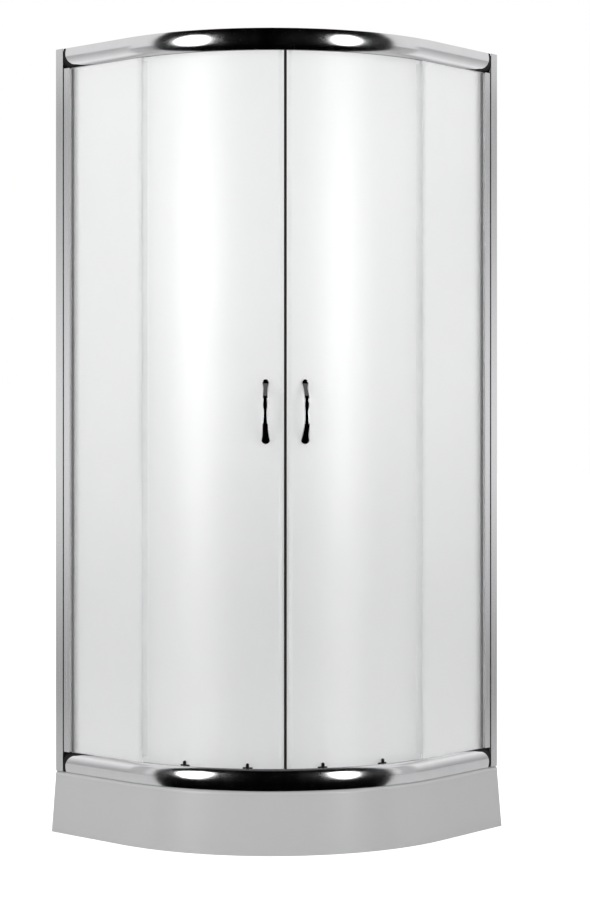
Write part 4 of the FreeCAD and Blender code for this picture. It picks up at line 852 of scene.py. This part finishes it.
def mirror_only(piece):
    """Leaves a stage object visible in reflections alone, so that it neither shows nor shades anything."""
    for ray in ("camera", "diffuse", "transmission", "volume_scatter", "shadow"):
        setattr(piece, f"visible_{ray}", False)


def polar_grid(bearings, far, level):
    """Points on circles about the hub: one row for each bearing, at each distance and level."""
    x, y = HUB[0] + far * np.cos(bearings), HUB[1] + far * np.sin(bearings)
    return np.stack([x, y, level + 0 * x], axis=2)


def soft_light(name, place, turned, wide, tall, brightness):
    """An elliptical lamp; its power is its brightness times pi times its area."""
    light = bpy.data.lights.new(name, "AREA")
    light.shape = "ELLIPSE"
    light.size, light.size_y = wide, tall
    light.energy = brightness * math.pi * wide * tall * math.pi / 4
    lamp = bpy.data.objects.new(name, light)
    bpy.context.scene.collection.objects.link(lamp)
    lamp.location = place
    lamp.rotation_euler = turned
    return lamp


class SHOWER_OT_stage(bpy.types.Operator):
    """Sets up the floor, the dark cloths that the chrome mirrors, the soft lights and the camera"""
    bl_idname = "shower.stage"
    bl_label = "Stage"

    def execute(self, context):
        scene = context.scene
        stage = scene.shower_stage
        scene.view_settings.view_transform = "Standard"
        floor = np.array([[(-30, -30, 0), (30, -30, 0)], [(-30, 30, 0), (30, 30, 0)]], dtype=float)
        pale = plain_finish("pale_floor", (0.8, 0.8, 0.8), 0.8, 0.22)
        stage_object("floor", floor, [(0, 1, 3, 2)], pale)

        def card(name, points, finish):
            """A sheet that shows only in reflections."""
            mirror_only(stage_object(name, points, grid_faces(*points.shape[:2]).tolist(), finish))

        # The cards before the enclosure are slices of a sphere: direction (cos a cos e, sin a cos e, sin e).
        facing = math.atan2(CAMERA_PLACE[1] - HUB[1], CAMERA_PLACE[0] - HUB[0])
        black = (0.001,) * 3
        cloth = plain_finish("dark_cloth", black)
        dim = plain_finish("dim_cloth", black, 0.14, 0.14)
        across = np.linspace(-1, 1, 40)[:, None]
        far = 6.6
        for name, low, high, finish in (("dark_card", -9, 55, cloth), ("dim_ceiling", 55, 89, dim)):
            e = np.radians(np.linspace(low, high, 20))[None, :]
            bearings = facing + across * math.radians(65)
            card(name, polar_grid(bearings, far * np.cos(e), 1.0 + far * np.sin(e)), finish)
        # The carpet is narrow by the tray and as wide as the card where it meets it.
        bearings = facing + across * np.radians([[38, 58, 65]])
        card("dark_carpet", polar_grid(bearings, np.array([[0.62, 2.0, 7.0]]), 0.002), cloth)
        # Beside the enclosure the outer panes mirror a dim wall, and the uprights a strip before it.
        wall = plain_finish("side_wall", black, 0.62, 0.62)
        strip = side_finish("side_strip")
        for side, sign in (("right", 1), ("left", -1)):
            for name, low, high, away, top, finish in (("wall", 66, 135, 2.7, 1.6, wall),
                                                       ("strip", 76, 104, 2.6, 2.2, strip)):
                bearings = facing + sign * np.radians(np.linspace(low, high, 24))[:, None]
                points = polar_grid(bearings, np.full((1, 2), away), np.array([[0.0, top]]))
                card(f"side_{name}_{side}", points, finish)
        for name, turn, wide in (("soft_light_left", -42, 1.8), ("soft_light_right", 37.5, 1.5)):
            angle = facing + math.radians(turn)
            place = (HUB[0] + 5.0 * math.cos(angle), HUB[1] + 5.0 * math.sin(angle), 1.95)
            soft_light(name, place, (QUARTER, 0.0, angle + QUARTER), wide, 3.7, stage.key)
        overhead = soft_light("soft_light_top", (*HUB, 4.6), (0.0, 0.0, 0.0), 3.0, 3.0, stage.top)
        overhead.visible_glossy = False
        world = bpy.data.worlds.new("studio")
        scene.world = world
        world.use_nodes = True
        nodes, links = world.node_tree.nodes, world.node_tree.links
        strength = seen_directly(nodes, links, 1.0, 1.0, stage.fill)
        links.new(strength, nodes["Background"].inputs["Strength"])
        nodes["Background"].inputs["Color"].default_value = (1.0, 1.0, 1.0, 1.0)
        camera = bpy.data.cameras.new("camera")
        camera.lens = FOCAL_PIXELS / FRAME_LONG_SIDE * camera.sensor_width
        camera.shift_y = -HORIZON_ABOVE_MIDDLE / FRAME_LONG_SIDE
        view = bpy.data.objects.new("camera", camera)
        scene.collection.objects.link(view)
        view.location = CAMERA_PLACE
        view.rotation_euler = (QUARTER, 0.0, CAMERA_TURN)
        scene.camera = view
        return {"FINISHED"}


class SHOWER_PT_panel(bpy.types.Panel):
    """Lists the enclosure's settings and steps in the 3D view's sidebar"""
    bl_idname = "SHOWER_PT_panel"
    bl_label = "Shower enclosure"
    bl_space_type = "VIEW_3D"
    bl_region_type = "UI"
    bl_category = "Shower"

    def draw(self, context):
        for name in SETTINGS:
            settings = getattr(context.scene, name)
            box = self.layout.box()
            for prop in settings.__annotations__:
                box.prop(settings, prop)
        for operator in OPERATORS:
            self.layout.operator(operator.bl_idname)


SETTINGS = {
    "shower_tray": TraySettings,
    "shower_frame": FrameSettings,
    "shower_panes": PaneSettings,
    "shower_handles": HandleSettings,
    "shower_stage": StageSettings,
}
OPERATORS = (SHOWER_OT_finishes, SHOWER_OT_tray, SHOWER_OT_rails, SHOWER_OT_panes, SHOWER_OT_gaskets,
             SHOWER_OT_magnets, SHOWER_OT_handles, SHOWER_OT_stage)
CLASSES = (*SETTINGS.values(), *OPERATORS, SHOWER_PT_panel)


def register():
    """Registers the classes and hangs each group of settings on the scene."""
    for item in CLASSES:
        bpy.utils.register_class(item)
    for name, settings in SETTINGS.items():
        setattr(bpy.types.Scene, name, bpy.props.PointerProperty(type=settings))


def unregister():
    """Undoes register."""
    for name in SETTINGS:
        delattr(bpy.types.Scene, name)
    for item in reversed(CLASSES):
        bpy.utils.unregister_class(item)


def main():
    """Registers the add-on and runs its steps in order."""
    register()
    for operator in OPERATORS:
        family, step = operator.bl_idname.split(".")
        getattr(getattr(bpy.ops, family), step)()


if __name__ == "__main__":
    main()
